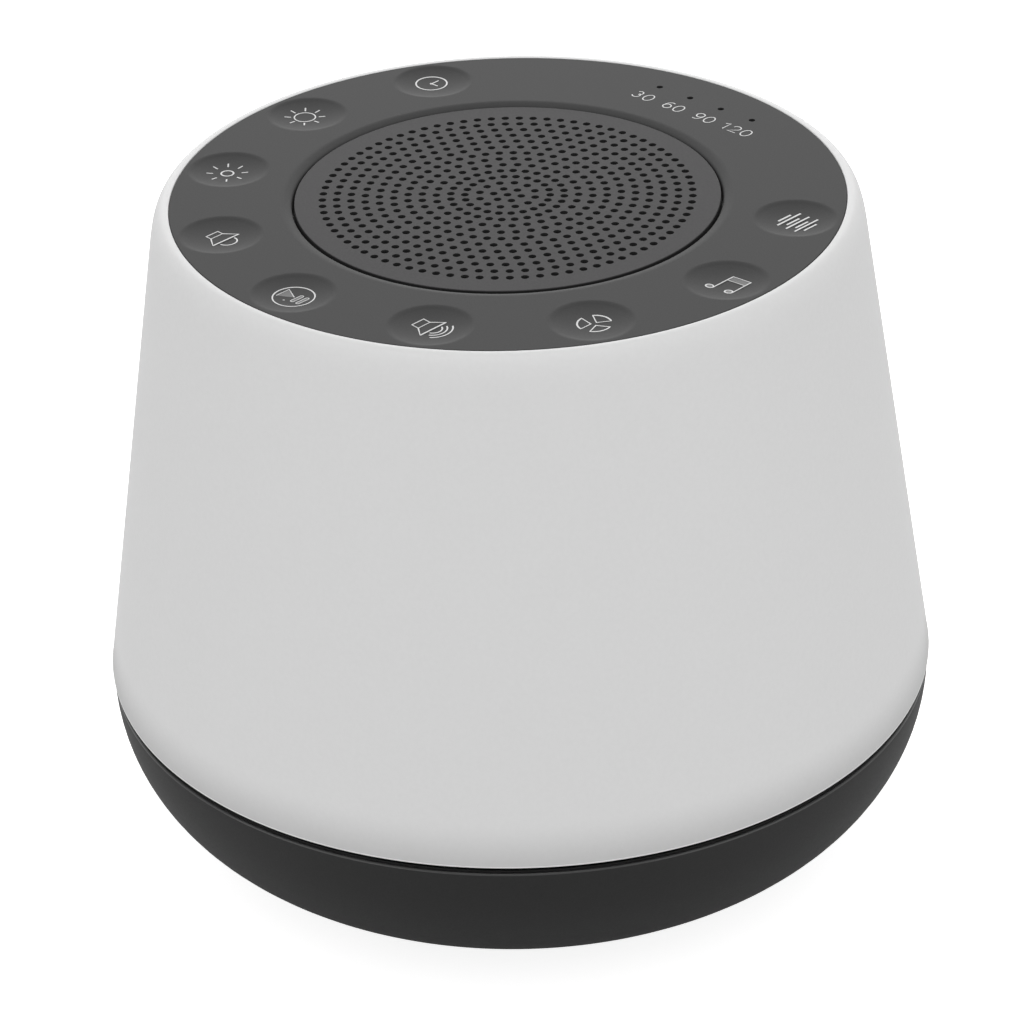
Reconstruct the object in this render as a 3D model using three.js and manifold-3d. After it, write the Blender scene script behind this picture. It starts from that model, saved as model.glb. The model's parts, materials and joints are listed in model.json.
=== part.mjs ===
// White noise sound machine: a translucent lamp body on a dark bowl-shaped base. On top, a soft ring panel
// with nine dished keys goes round a perforated speaker grille. Millimetres, +Z up. The origin is on the
// table under the machine's axis, and the front, where the play key is, faces -Y.

import * as THREE from "three";
import { mergeGeometries, mergeVertices } from "three/addons/utils/BufferGeometryUtils.js";
import Module from "manifold-3d";

// Driving dimensions: whole machine
const bodyHeight = 90; // table to the top face of the panel
const panelRadius = 42.75; // the shell, keys, grille and speaker follow it
const clearance = 0.3; // between pieces that seat on each other or fit in each other

// Lamp shell
const shellShoulderWidth = 1.34; // from the lip out to where the cone would meet the plane of the panel
const shellFlareDegrees = 8.72;
const shellWall = 2.2;
const shellLipWidth = 0.35;
const shellLipDrop = 0.1;
const shoulderHeight = 3.6;
const shoulderBendShare = 1 / 3; // of the shoulder's height, from the top down to where its curve bends
const seamHeight = 25; // lower edge of the shell above the table
const shellSeatThickness = 2;

// Base bowl
const seamGap = 0.5; // dark gap between the shell and the base rim
const baseRimProud = 0.3; // the rim stands out past the shell by this
const baseWall = 2.2;
const baseFlatRadius = 29.9;
const baseRoundPower = 2.1; // superellipse power of the bowl's side
const spigotWall = 1.8;
const spigotHeight = 4;
const bossRadius = 5;
const bossCircleRadius = 22;
const bossCount = 4;

// Feet
const footRadius = 5.5;
const footProud = 1;
const footRecess = 0.9;

// Panel
const panelThickness = 2.4;
const panelLipWidth = 1.55; // of the soft edge round the grille
const panelLipHeight = 0.65;
const panelEdgeRound = 0.3;

// Keys
const keyNames = [
  "timer",
  "light_up",
  "light_down",
  "volume_down",
  "play",
  "volume_up",
  "fan",
  "music",
  "noise",
];
const firstKeyDegrees = 150;
const keyPitchDegrees = 30;
const keyRadius = 4.8;
const keyEdgeMargin = 0.9; // from a key's edge to the edge of the panel
const keyDishDepth = 0.6;
const keyTravel = 0.5;
const keyPlungerRadius = 2;

// Timer lights
const timerLightCount = 4;
const timerLightPitch = 5.43;
const timerLightShift = 0.45; // of the row's middle, to the right
const timerHoleRadius = 0.43;
const guidePinRadius = 0.8;
const guideBarWidth = 3.2;
const guideBarThickness = 1.8;
const guideBarEnd = 1.7; // past the last pin's axis
const timerLightSide = 1.2;
const timerLightHeight = 0.9;

// Grille
const grilleToKeys = 5.3; // from the grille's edge to a key's edge
const grilleSolidRim = 3.4; // least distance from the grille's edge to the axes of the last ring of holes
const grilleGap = 0.3; // dark gap between the grille and the panel
const grilleDrop = 0.2; // the grille lies this far below the panel's top face
const grilleThickness = 1.6;
const grilleSkirtWidth = 2;
const grilleSkirtInset = 0.5;
const grilleRingPitch = 1.8;
const grilleHoleCounts = [1, 6, 12, 22, 28, 30, 36, 44, 48, 54, 60, 66, 72, 80]; // ring by ring outwards
const firstHoleDegrees = 90;
const grilleHoleRadius = 0.5;
const clothThickness = 0.3;

// Deck under the panel
const deckThickness = 2.2;
const postRadius = 2.8;
const deckPostDegrees = [45, 165, 285];
const boardPostDegrees = [120, 225, 345];

// Key board and its switches
const boardThickness = 1.6;
const boardMargin = 0.6; // from a switch to the board's edge
const switchSide = 6;
const switchHeight = 3.5;
const switchHeadroom = 1.6; // from the switch body up to the deck
const stemRadius = 1.6;
const stemDepth = 1.4; // of the stem in its switch

// Loudspeaker
const speakerInset = 1.45; // from the grille's edge in to the speaker's edge
const speakerFlangeWidth = 4.8;
const speakerFlangeThickness = 1.2;
const gasketWidth = 2.8;
const gasketThickness = 0.9;
const basketDepth = 10;
const basketTaper = 4.2; // the basket narrows by this
const basketWall = 1.2;
const basketWindowShare = 0.47; // width of a window as a share of the speaker's radius
const basketWindowHeight = 6;
const basketWindowCount = 4;
const coneWall = 0.6;
const coneDepth = 7;
const surroundRollRadius = 1;
const surroundRimWidth = 1.1;
const surroundWall = 0.4;
const spiderRimWidth = 1.8;
const spiderWaveHeight = 1.2;
const spiderWall = 0.4;
const spiderWaves = 2;
const dustCapShare = 0.353; // radii of these five as shares of the speaker's
const poleShare = 0.2275;
const topPlateShare = 0.588;
const magnetShare = 0.6275;
const magnetBoreShare = 0.353;
const dustCapHeight = 2.2;
const dustCapWall = 0.5;
const coilGap = 0.5; // each side of the voice coil
const coilWall = 0.5;
const coilBelowPlate = 1;
const topPlateThickness = 1.6;
const magnetThickness = 8;
const yokeThickness = 2.8;
const speakerScrewCount = 3;
const firstSpeakerScrewDegrees = 15;

// Inner frame: speaker chamber, flange, ears and legs
const frameWall = 2;
const frameFlangeHeight = 24; // underside of the flange above the table
const earRadius = 4;
const earThickness = 2;
const deckPostReach = 7.5; // length of the posts that reach the ears
const legRadius = 4.6;
const legSpigotRadius = 3.4;

// Light board
const lightBoardMargin = 1.4; // from the board's edge to the base spigot
const lightCount = 12;
const firstLightDegrees = 15;
const lightWidth = 3.5;
const lightLength = 2.8;
const lightHeight = 1.9;

// Main board and power socket
const mainBoardHeight = 12; // underside above the table
const mainBoardRadius = 38;
const mainBoardTabWidth = 13;
const mainBoardTabGap = 1.7; // from the tab to the socket pad
const socketWidth = 9;
const socketHeight = 3.3;
const socketLength = 7.4;
const socketShell = 0.35;
const socketCavityDepth = 6.2;
const socketTongueWidth = 6.7;
const socketTongueThickness = 0.7;
const socketTongueLength = 5.2;
const socketInset = 0.2; // of the socket's mouth in the recess floor
const recessWidth = 14;
const recessHeight = 8;
const recessDepth = 1.4; // in the bowl's side, at the height of the socket
const padThickness = 2.4;

// Leads
const speakerLeadRadius = 1;
const speakerLeadInset = 1.5; // from the speaker's edge in to the lead's long run
const harnessRadius = 1.3;
const leadSag = 1.2; // sideways play in a lead's run
const leadSteps = 14;

// Screws
const smallScrewRadius = 1.1;
const smallHeadRadius = 3.3;
const smallHeadHeight = 1.6;
const screwRadius = 1.5;
const headRadius = 2.8;
const headHeight = 2;
const headSeatHeight = 7; // where the heads of the base screws bear, above the table
const baseScrewReach = 8; // past the main board into the legs
const driveSlotShare = 0.3; // slot width and depth as a share of the head's radius and height
const pilotWall = 1; // left over a blind hole

// Facets
const shellSides = 48;
const innerSides = 16;
const keySides = 12;
const smallSides = 8;
const holeSides = 3;
const curveSteps = 5;
const dishSteps = 3;

// Worked out: radii
const flareSlope = Math.tan(THREE.MathUtils.degToRad(shellFlareDegrees));
const shellTopRadius = panelRadius + clearance + shellLipWidth + shellShoulderWidth;
const keyCircleRadius = panelRadius - keyEdgeMargin - keyRadius;
const grilleRadius = keyCircleRadius - keyRadius - grilleToKeys;
const grilleRingCount = Math.floor((grilleRadius - grilleSolidRim) / grilleRingPitch);
const speakerRadius = grilleRadius - speakerInset;
const dustCapRadius = speakerRadius * dustCapShare;
const poleRadius = speakerRadius * poleShare;
const topPlateRadius = speakerRadius * topPlateShare;
const magnetRadius = speakerRadius * magnetShare;
const magnetBoreRadius = speakerRadius * magnetBoreShare;
const speakerLeadDistance = speakerRadius - speakerLeadInset;
const boardRadius = keyCircleRadius + switchSide / 2 + boardMargin;
const grilleHoleEdge = grilleRadius + grilleGap;
const speakerBossCircle = speakerRadius + clearance + smallScrewRadius * 2 + clearance;
const boardBoreRadius = speakerBossCircle + smallHeadRadius + clearance;
const postCircleRadius = (boardBoreRadius + boardRadius) / 2;
const chamberRadius = boardBoreRadius - clearance;
const coilRadius = poleRadius + coilGap + coilWall;
const plateBoreRadius = coilRadius + coilGap;
const neckRadius = coilRadius + clearance;
const flangeBoreRadius = speakerRadius - speakerFlangeWidth;
const mouthRadius = flangeBoreRadius + clearance - surroundRollRadius * 2 - clearance;
const surroundOuterRadius = flangeBoreRadius + clearance;
const deckBoreRadius = surroundOuterRadius + surroundRimWidth - clearance;
const clothRadius = deckBoreRadius + grilleSkirtWidth;
const grilleSkirtLeast = clothRadius + clearance + grilleSkirtWidth;
const grilleSkirtRadius = Math.max(grilleRadius - grilleSkirtInset, grilleSkirtLeast);

// Worked out: heights, from the top down
const panelBottom = bodyHeight - panelThickness;
const grilleTop = bodyHeight - grilleDrop;
const grilleBottom = grilleTop - grilleThickness;
const keyUnderside = panelBottom + keyTravel;
const deckTop = panelBottom - clearance;
const deckBottom = deckTop - deckThickness;
const shellSeatTop = deckBottom - clearance;
const shellSeatBottom = shellSeatTop - shellSeatThickness;
const switchTop = deckBottom - switchHeadroom;
const boardTop = switchTop - switchHeight;
const boardBottom = boardTop - boardThickness;
const gasketTop = deckBottom - clearance;
const flangeTop = gasketTop - gasketThickness - clearance;
const flangeBottom = flangeTop - speakerFlangeThickness;
const rearRingTop = flangeBottom - basketDepth;
const rearRingBottom = rearRingTop - basketWall;
const topPlateTop = rearRingBottom - clearance;
const topPlateBottom = topPlateTop - topPlateThickness;
const magnetTop = topPlateBottom - clearance;
const magnetBottom = magnetTop - magnetThickness;
const yokeTop = magnetBottom - clearance;
const deckPostBottom = deckBottom - deckPostReach;
const earTop = deckPostBottom - clearance;
const earBottom = earTop - earThickness;
const deckScrewTip = deckTop - pilotWall * 2;

// Worked out: heights, from the table up
const baseUnderside = footProud;
const baseFloorTop = baseUnderside + baseWall;
const baseRimTop = seamHeight - seamGap;
const spigotTop = baseRimTop + spigotHeight;
const bossTop = mainBoardHeight - clearance;
const mainBoardTop = mainBoardHeight + boardThickness;
const frameFlangeTop = frameFlangeHeight + frameWall;
const lightBoardBottom = frameFlangeTop + clearance;
const lightBoardTop = lightBoardBottom + boardThickness;
const socketBottom = mainBoardTop + clearance;
const socketMiddle = socketBottom + socketHeight / 2;

// One overrun serves every cut that has to pass a face.
const overrun = clearance;

const wasm = await Module();
wasm.setup();

// Shell radius, outside, at a height.
function shellRadiusAt(height) {
  return shellTopRadius + (bodyHeight - height) * flareSlope;
}

const baseRimRadius = shellRadiusAt(seamHeight) + baseRimProud;

// Radius of the bowl at a height, outside (inset 0) or inside (inset of one wall).
function bowlRadiusAt(height, inset) {
  const reach = baseRimRadius - inset - baseFlatRadius;
  const drop = (baseRimTop - height) / (baseRimTop - baseUnderside - inset);
  return baseFlatRadius + reach * Math.pow(1 - Math.pow(drop, baseRoundPower), 1 / baseRoundPower);
}

const spigotBoreRadius = shellRadiusAt(spigotTop) - shellWall - clearance - spigotWall;
const lightBoardRadius = spigotBoreRadius - lightBoardMargin;
const recessFloor = bowlRadiusAt(socketMiddle, 0) - recessDepth;
const padInside = recessFloor - padThickness;

// A closed geometry as a solid that can be joined and cut.
function toSolid(geometry) {
  const bare = geometry.index ? geometry.toNonIndexed() : geometry.clone();
  bare.deleteAttribute("normal");
  bare.deleteAttribute("uv");
  const merged = mergeVertices(bare, 1e-4);
  const corners = merged.index.array;
  const kept = [];
  for (let i = 0; i < corners.length; i += 3) {
    const [a, b, c] = [corners[i], corners[i + 1], corners[i + 2]];
    if (a !== b && b !== c && c !== a) kept.push(a, b, c);
  }
  return new wasm.Manifold(
    new wasm.Mesh({
      numProp: 3,
      vertProperties: new Float32Array(merged.attributes.position.array),
      triVerts: new Uint32Array(kept),
    }),
  );
}

// A solid as a geometry for a mesh.
function toGeometry(solid) {
  const mesh = solid.getMesh();
  const positions = new Float32Array(mesh.numVert * 3);
  for (let i = 0; i < mesh.numVert; i++) {
    positions.set(mesh.vertProperties.subarray(i * mesh.numProp, i * mesh.numProp + 3), i * 3);
  }
  const geometry = new THREE.BufferGeometry();
  geometry.setAttribute("position", new THREE.BufferAttribute(positions, 3));
  geometry.setIndex(new THREE.BufferAttribute(mesh.triVerts, 1));
  geometry.computeVertexNormals();
  return geometry;
}

// A turned body from an outline of [radius, height] points, which is closed where it stays off the axis.
function turn(outline, sides) {
  const points = outline.map(([radius, height]) => new THREE.Vector2(radius, height));
  if (THREE.ShapeUtils.area(points) < 0) points.reverse();
  const firstOnAxis = points.findIndex((point, i) => point.x === 0 && points.at(i - 1).x === 0);
  if (firstOnAxis >= 0) points.push(...points.splice(0, firstOnAxis));
  else points.push(points[0].clone());
  return toSolid(new THREE.LatheGeometry(points, sides).rotateX(Math.PI / 2));
}

// A ring of square section between two radii and two heights.
function ring(bore, radius, bottom, top, sides) {
  return turn([[bore, bottom], [radius, bottom], [radius, top], [bore, top]], sides);
}

// A disc or post standing at x, y.
function post(radius, bottom, top, sides, x = 0, y = 0) {
  const geometry = new THREE.CylinderGeometry(radius, radius, top - bottom, sides);
  return toSolid(geometry.rotateX(Math.PI / 2).translate(x, y, (bottom + top) / 2));
}

// A block between two corners.
function block(low, high) {
  const size = high.map((value, i) => value - low[i]);
  const middle = high.map((value, i) => (value + low[i]) / 2);
  return toSolid(new THREE.BoxGeometry(...size).translate(...middle));
}

// A place at a radius and an angle round the axis.
function polar(radius, degrees) {
  const angle = THREE.MathUtils.degToRad(degrees);
  return [radius * Math.cos(angle), radius * Math.sin(angle)];
}

// Degrees of each of several places evenly round the axis.
function evenly(count, first = 0) {
  return Array.from({ length: count }, (_, i) => first + (i * 360) / count);
}

const keyDegrees = keyNames.map((_, i) => firstKeyDegrees + i * keyPitchDegrees);
const bossDegrees = evenly(bossCount, 45);
const speakerScrewDegrees = evenly(speakerScrewCount, firstSpeakerScrewDegrees);
const timerPlaces = Array.from({ length: timerLightCount }, (_, i) => [
  timerLightShift + (i - (timerLightCount - 1) / 2) * timerLightPitch,
  keyCircleRadius,
]);

// Lamp shell: a cone with a rounded shoulder, an inward seat for the deck and an open foot.
function makeDiffuserShell() {
  const lipRadius = panelRadius + clearance;
  const lip = new THREE.Vector2(lipRadius + shellLipWidth, bodyHeight - shellLipDrop);
  const shoulderFoot = bodyHeight - shoulderHeight;
  const bend = bodyHeight - shoulderHeight * shoulderBendShare;
  const shoulder = new THREE.QuadraticBezierCurve(
    new THREE.Vector2(shellRadiusAt(shoulderFoot), shoulderFoot),
    new THREE.Vector2(shellRadiusAt(bend), bend),
    lip,
  );
  const seatRadius = boardRadius + clearance;
  return turn(
    [
      [shellRadiusAt(seamHeight) - shellWall, seamHeight],
      [shellRadiusAt(seamHeight), seamHeight],
      ...shoulder.getPoints(curveSteps).map((point) => [point.x, point.y]),
      [lipRadius, lip.y],
      [lipRadius, shellSeatTop],
      [seatRadius, shellSeatTop],
      [seatRadius, shellSeatBottom],
      [shellRadiusAt(shellSeatBottom) - shellWall, shellSeatBottom],
    ],
    shellSides,
  );
}

// Points up one side of the bowl, from the flat floor.
function bowlSide(inset, top) {
  const floor = baseUnderside + inset;
  return Array.from({ length: curveSteps + 2 }, (_, i) => {
    const height = top - (top - floor) * Math.cos((i / (curveSteps + 1)) * (Math.PI / 2));
    return [bowlRadiusAt(height, inset), height];
  });
}

// Base bowl with its floor, spigot for the shell, screw bosses, foot recesses and socket recess.
function makeBaseShell() {
  const spigotAt = (height) => shellRadiusAt(height) - shellWall - clearance;
  const spigotFoot = baseRimTop - baseWall;
  let bowl = turn(
    [
      [0, baseUnderside],
      ...bowlSide(0, baseRimTop),
      [spigotAt(baseRimTop), baseRimTop],
      [spigotAt(spigotTop), spigotTop],
      [spigotBoreRadius, spigotTop],
      [spigotBoreRadius, spigotFoot],
      ...bowlSide(baseWall, spigotFoot).reverse(),
      [0, baseFloorTop],
    ],
    shellSides,
  );
  const padHalf = recessWidth / 2 + padThickness / 2;
  const pad = block(
    [-padHalf, padInside, mainBoardTop + clearance],
    [padHalf, baseRimRadius, socketMiddle + recessHeight / 2 + padThickness / 2],
  );
  const middleOfWall = [[0, baseFloorTop], ...bowlSide(baseWall / 2, spigotFoot), [0, spigotFoot]];
  bowl = bowl.add(pad.intersect(turn(middleOfWall, shellSides)));
  for (const degrees of bossDegrees) {
    const [x, y] = polar(bossCircleRadius, degrees);
    bowl = bowl.add(post(bossRadius, baseUnderside + footRecess, bossTop, keySides, x, y));
    bowl = bowl.subtract(
      post(footRadius + clearance, baseUnderside - overrun, baseUnderside + footRecess, keySides, x, y),
    );
    bowl = bowl.subtract(post(headRadius + clearance, baseUnderside, headSeatHeight, smallSides, x, y));
    bowl = bowl.subtract(post(screwRadius + clearance, baseUnderside, bossTop + overrun, smallSides, x, y));
  }
  const recess = block(
    [-recessWidth / 2, recessFloor, socketMiddle - recessHeight / 2],
    [recessWidth / 2, baseRimRadius + overrun, socketMiddle + recessHeight / 2],
  );
  const mouth = socketOutline(clearance);
  return bowl.subtract(recess).subtract(extrudeBack(mouth, padInside - overrun, recessFloor + overrun));
}

// Outline of the socket with round ends, grown by a margin.
function socketOutline(margin) {
  const half = socketHeight / 2 + margin;
  const reach = socketWidth / 2 + margin - half;
  const shape = new THREE.Shape();
  shape.absarc(reach, 0, half, -Math.PI / 2, Math.PI / 2, false);
  shape.absarc(-reach, 0, half, Math.PI / 2, (3 * Math.PI) / 2, false);
  shape.closePath();
  return shape;
}

// A solid along Y with the given outline round the socket's axis.
function extrudeBack(shape, near, far) {
  const geometry = new THREE.ExtrudeGeometry(shape, {
    depth: far - near,
    bevelEnabled: false,
    curveSegments: curveSteps - 1,
  });
  return toSolid(geometry.rotateX(Math.PI / 2).translate(0, far, socketMiddle));
}

// Power socket: a metal shell round a tongue.
function makeUsbSocket() {
  const mouth = recessFloor - socketInset;
  const back = mouth - socketLength;
  const shell = extrudeBack(socketOutline(0), back, mouth);
  const cavity = extrudeBack(socketOutline(-socketShell), mouth - socketCavityDepth, mouth + overrun);
  const tongue = block(
    [-socketTongueWidth / 2, mouth - socketCavityDepth - overrun, socketMiddle - socketTongueThickness / 2],
    [
      socketTongueWidth / 2,
      mouth - socketCavityDepth + socketTongueLength,
      socketMiddle + socketTongueThickness / 2,
    ],
  );
  return shell.subtract(cavity).add(tongue);
}

// Rubber foot: a pad in its recess over a screw.
function makeFoot() {
  return post(footRadius, 0, footProud + footRecess - clearance, keySides);
}

// Panel: a soft ring with rounded edges, key holes and timer holes.
function makeKeypadPanel() {
  const lip = Array.from({ length: curveSteps - 1 }, (_, i) => {
    const angle = (i / (curveSteps - 2)) * (Math.PI / 2);
    return [
      grilleHoleEdge + panelLipWidth * (1 - Math.sin(angle)),
      bodyHeight - panelLipHeight * (1 - Math.cos(angle)),
    ];
  });
  let panel = turn(
    [
      [grilleHoleEdge, panelBottom],
      [panelRadius, panelBottom],
      [panelRadius, bodyHeight - panelEdgeRound],
      [panelRadius - panelEdgeRound, bodyHeight],
      ...lip,
    ],
    shellSides,
  );
  for (const degrees of keyDegrees) {
    const [x, y] = polar(keyCircleRadius, degrees);
    const hole = post(keyRadius + clearance, panelBottom - overrun, bodyHeight + overrun, keySides, x, y);
    panel = panel.subtract(hole);
  }
  for (const [x, y] of timerPlaces) {
    const hole = post(timerHoleRadius, panelBottom - overrun, bodyHeight + overrun, smallSides, x, y);
    panel = panel.subtract(hole);
  }
  return panel;
}

// Key: a dished round top on a plunger that reaches the switch stem.
function makeKey() {
  const plungerBottom = deckBottom + clearance;
  const dish = Array.from({ length: dishSteps }, (_, i) => {
    const share = 1 - i / dishSteps;
    return [keyRadius * share, bodyHeight - keyDishDepth * (1 - share * share)];
  });
  return turn(
    [
      [0, plungerBottom],
      [keyPlungerRadius, plungerBottom],
      [keyPlungerRadius, keyUnderside],
      [keyRadius, keyUnderside],
      ...dish,
      [0, bodyHeight - keyDishDepth],
    ],
    keySides,
  );
}

// Switch stem, pressed by its key.
function makeStem() {
  return post(stemRadius, switchTop - stemDepth, deckBottom, smallSides);
}

// Perforated disc with a skirt that stands on the deck.
function makeSpeakerGrille() {
  const reach = grilleThickness + overrun * 2;
  const drills = [];
  for (let index = 0; index <= grilleRingCount; index++) {
    const holes = grilleHoleCounts[index] ?? index * 6;
    for (const degrees of evenly(holes, firstHoleDegrees)) {
      const [x, y] = polar(index * grilleRingPitch, degrees);
      const drill = new THREE.CylinderGeometry(grilleHoleRadius, grilleHoleRadius, reach, holeSides);
      drill.rotateX(Math.PI / 2).rotateZ(THREE.MathUtils.degToRad(degrees));
      drills.push(drill.translate(x, y, grilleBottom + grilleThickness / 2));
    }
  }
  const plate = post(grilleRadius, grilleBottom, grilleTop, shellSides);
  const skirt = ring(
    grilleSkirtRadius - grilleSkirtWidth,
    grilleSkirtRadius,
    deckTop + clearance,
    grilleBottom + overrun,
    innerSides * 2,
  );
  return plate.subtract(toSolid(mergeGeometries(drills))).add(skirt);
}

// Dust cloth over the deck's opening.
function makeGrilleCloth() {
  return post(clothRadius, deckTop + clearance, deckTop + clearance + clothThickness, innerSides);
}

// Deck: carries panel, grille, speaker and key board, and stands on the inner frame with three long posts.
function makeTopDeck() {
  const pilot = screwRadius + clearance;
  const pilotTop = deckTop - pilotWall;
  let deck = ring(deckBoreRadius, panelRadius, deckBottom, deckTop, innerSides * 2);
  const drill = [];
  for (const degrees of deckPostDegrees) {
    const [x, y] = polar(postCircleRadius, degrees);
    deck = deck.add(post(postRadius, deckPostBottom, deckTop, keySides, x, y));
    drill.push(post(pilot, deckPostBottom - overrun, pilotTop, smallSides, x, y));
  }
  for (const degrees of boardPostDegrees) {
    const [x, y] = polar(postCircleRadius, degrees);
    deck = deck.add(post(postRadius, boardTop + clearance, deckTop, keySides, x, y));
    drill.push(post(pilot, boardTop, pilotTop, smallSides, x, y));
  }
  for (const degrees of speakerScrewDegrees) {
    const [x, y] = polar(speakerBossCircle, degrees);
    deck = deck.add(post(smallScrewRadius * 2, flangeBottom, deckTop, keySides, x, y));
    drill.push(post(smallScrewRadius + clearance, flangeBottom - overrun, pilotTop, smallSides, x, y));
  }
  for (const degrees of keyDegrees) {
    const [x, y] = polar(keyCircleRadius, degrees);
    const hole = keyPlungerRadius + clearance * 2;
    drill.push(post(hole, deckBottom - overrun, deckTop + overrun, smallSides, x, y));
  }
  for (const [x, y] of timerPlaces) {
    drill.push(post(guidePinRadius + clearance, deckBottom - overrun, deckTop + overrun, smallSides, x, y));
  }
  return drill.reduce((body, hole) => body.subtract(hole), deck);
}

// Light guide: a clear bar under the deck, with a pin up to each timer hole.
function makeTimerLightGuide() {
  const top = deckBottom - clearance;
  const left = timerPlaces[0][0] - guideBarEnd;
  const right = timerPlaces[timerLightCount - 1][0] + guideBarEnd;
  let guide = block(
    [left, keyCircleRadius - guideBarWidth / 2, top - guideBarThickness],
    [right, keyCircleRadius + guideBarWidth / 2, top],
  );
  for (const [x, y] of timerPlaces) {
    guide = guide.add(post(guidePinRadius, top - overrun, deckTop, smallSides, x, y));
  }
  return guide;
}

// Ring board under the deck with nine switch bodies and four timer lights soldered on.
function makeKeyBoard() {
  let board = ring(boardBoreRadius, boardRadius, boardBottom, boardTop, innerSides * 2);
  const drill = [];
  for (const degrees of keyDegrees) {
    const [x, y] = polar(keyCircleRadius, degrees);
    const housing = new THREE.BoxGeometry(switchSide, switchSide, switchHeight + overrun)
      .rotateZ(THREE.MathUtils.degToRad(degrees))
      .translate(x, y, boardTop - overrun + (switchHeight + overrun) / 2);
    board = board.add(toSolid(housing));
    const boreBottom = switchTop - stemDepth - keyTravel - clearance;
    drill.push(post(stemRadius + clearance, boreBottom, switchTop + overrun, smallSides, x, y));
  }
  for (const [x, y] of timerPlaces) {
    const half = timerLightSide / 2;
    board = board.add(
      block([x - half, y - half, boardTop - overrun], [x + half, y + half, boardTop + timerLightHeight]),
    );
  }
  for (const degrees of deckPostDegrees) {
    const [x, y] = polar(postCircleRadius, degrees);
    drill.push(post(postRadius + clearance, boardBottom - overrun, boardTop + overrun, keySides, x, y));
  }
  for (const degrees of boardPostDegrees) {
    const [x, y] = polar(postCircleRadius, degrees);
    drill.push(post(screwRadius + clearance, boardBottom - overrun, boardTop + overrun, smallSides, x, y));
  }
  return drill.reduce((body, hole) => body.subtract(hole), board);
}

// Foam ring between speaker and deck.
function makeSpeakerGasket() {
  const bore = speakerRadius - gasketWidth;
  return ring(bore, speakerRadius, gasketTop - gasketThickness, gasketTop, innerSides);
}

// Pressed basket of the speaker with four windows.
function makeSpeakerFrame() {
  const rearRadius = flangeBoreRadius - basketTaper;
  let frame = turn(
    [
      [flangeBoreRadius, flangeTop],
      [speakerRadius, flangeTop],
      [speakerRadius, flangeBottom],
      [flangeBoreRadius + basketWall, flangeBottom],
      [rearRadius + basketWall, rearRingBottom],
      [magnetBoreRadius, rearRingBottom],
      [magnetBoreRadius, rearRingTop],
      [rearRadius, rearRingTop],
      [flangeBoreRadius, flangeBottom],
    ],
    innerSides,
  );
  const middle = (flangeBottom + rearRingTop) / 2;
  for (const degrees of evenly(basketWindowCount)) {
    const width = speakerRadius * basketWindowShare;
    const window = new THREE.BoxGeometry(speakerRadius, width, basketWindowHeight)
      .translate(speakerRadius / 2 + rearRadius / 2, 0, middle)
      .rotateZ(THREE.MathUtils.degToRad(degrees));
    frame = frame.subtract(toSolid(window));
  }
  return frame;
}

// Height of the cone's upper face at a radius.
function coneFaceAt(radius) {
  return flangeTop - coneDepth * ((mouthRadius - radius) / (mouthRadius - neckRadius));
}

// Paper cone.
function makeSpeakerCone() {
  return turn(
    [
      [neckRadius, coneFaceAt(neckRadius) - coneWall],
      [mouthRadius, coneFaceAt(mouthRadius) - coneWall],
      [mouthRadius, coneFaceAt(mouthRadius)],
      [neckRadius, coneFaceAt(neckRadius)],
    ],
    innerSides,
  );
}

// Dome over the cone's neck.
function makeDustCap() {
  const foot = coneFaceAt(dustCapRadius) + clearance;
  const arch = (radius, height) =>
    Array.from({ length: curveSteps }, (_, i) => {
      const angle = (i / (curveSteps - 1)) * (Math.PI / 2);
      return [i === curveSteps - 1 ? 0 : radius * Math.cos(angle), foot + height * Math.sin(angle)];
    });
  const inner = arch(dustCapRadius - dustCapWall, dustCapHeight - dustCapWall).reverse();
  return turn([...arch(dustCapRadius, dustCapHeight), ...inner], innerSides);
}

// Half-roll ring between cone and basket.
function makeSurround() {
  const seat = flangeTop + clearance;
  const middle = surroundOuterRadius - surroundRollRadius;
  const roll = (radius, lift) =>
    Array.from({ length: curveSteps + 1 }, (_, i) => {
      const angle = (i / curveSteps) * Math.PI;
      return [middle + radius * Math.cos(angle), seat + lift + radius * Math.sin(angle)];
    });
  const innerRim = middle - surroundRollRadius - surroundRimWidth;
  return turn(
    [
      [surroundOuterRadius + surroundRimWidth, seat],
      [surroundOuterRadius + surroundRimWidth, seat + surroundWall],
      ...roll(surroundRollRadius, surroundWall),
      [innerRim, seat + surroundWall],
      [innerRim, seat],
      ...roll(surroundRollRadius - surroundWall / 2, 0).reverse(),
    ],
    innerSides,
  );
}

// Corrugated ring that centres the coil.
function makeSpider() {
  const seat = rearRingTop + clearance;
  const outer = flangeBoreRadius - basketTaper - clearance;
  const inner = neckRadius;
  const rim = outer - spiderRimWidth;
  const steps = spiderWaves * 4;
  const wave = Array.from({ length: steps + 1 }, (_, i) => {
    const swing = (1 - Math.cos((i / steps) * spiderWaves * 2 * Math.PI)) / 2;
    return [rim + (inner - rim) * (i / steps), seat + spiderWaveHeight * swing];
  });
  const upper = wave.map(([radius, height]) => [radius, height + spiderWall]);
  return turn([[outer, seat], [outer, seat + spiderWall], ...upper, ...wave.reverse()], innerSides);
}

// Voice coil on its former, in the gap of the magnet.
function makeVoiceCoil() {
  return ring(
    coilRadius - coilWall,
    coilRadius,
    topPlateBottom - coilBelowPlate,
    coneFaceAt(neckRadius),
    innerSides,
  );
}

// Front plate of the magnet.
function makeTopPlate() {
  return ring(plateBoreRadius, topPlateRadius, topPlateBottom, topPlateTop, innerSides);
}

// Ferrite ring.
function makeMagnet() {
  return ring(magnetBoreRadius, magnetRadius, magnetBottom, magnetTop, innerSides);
}

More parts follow.
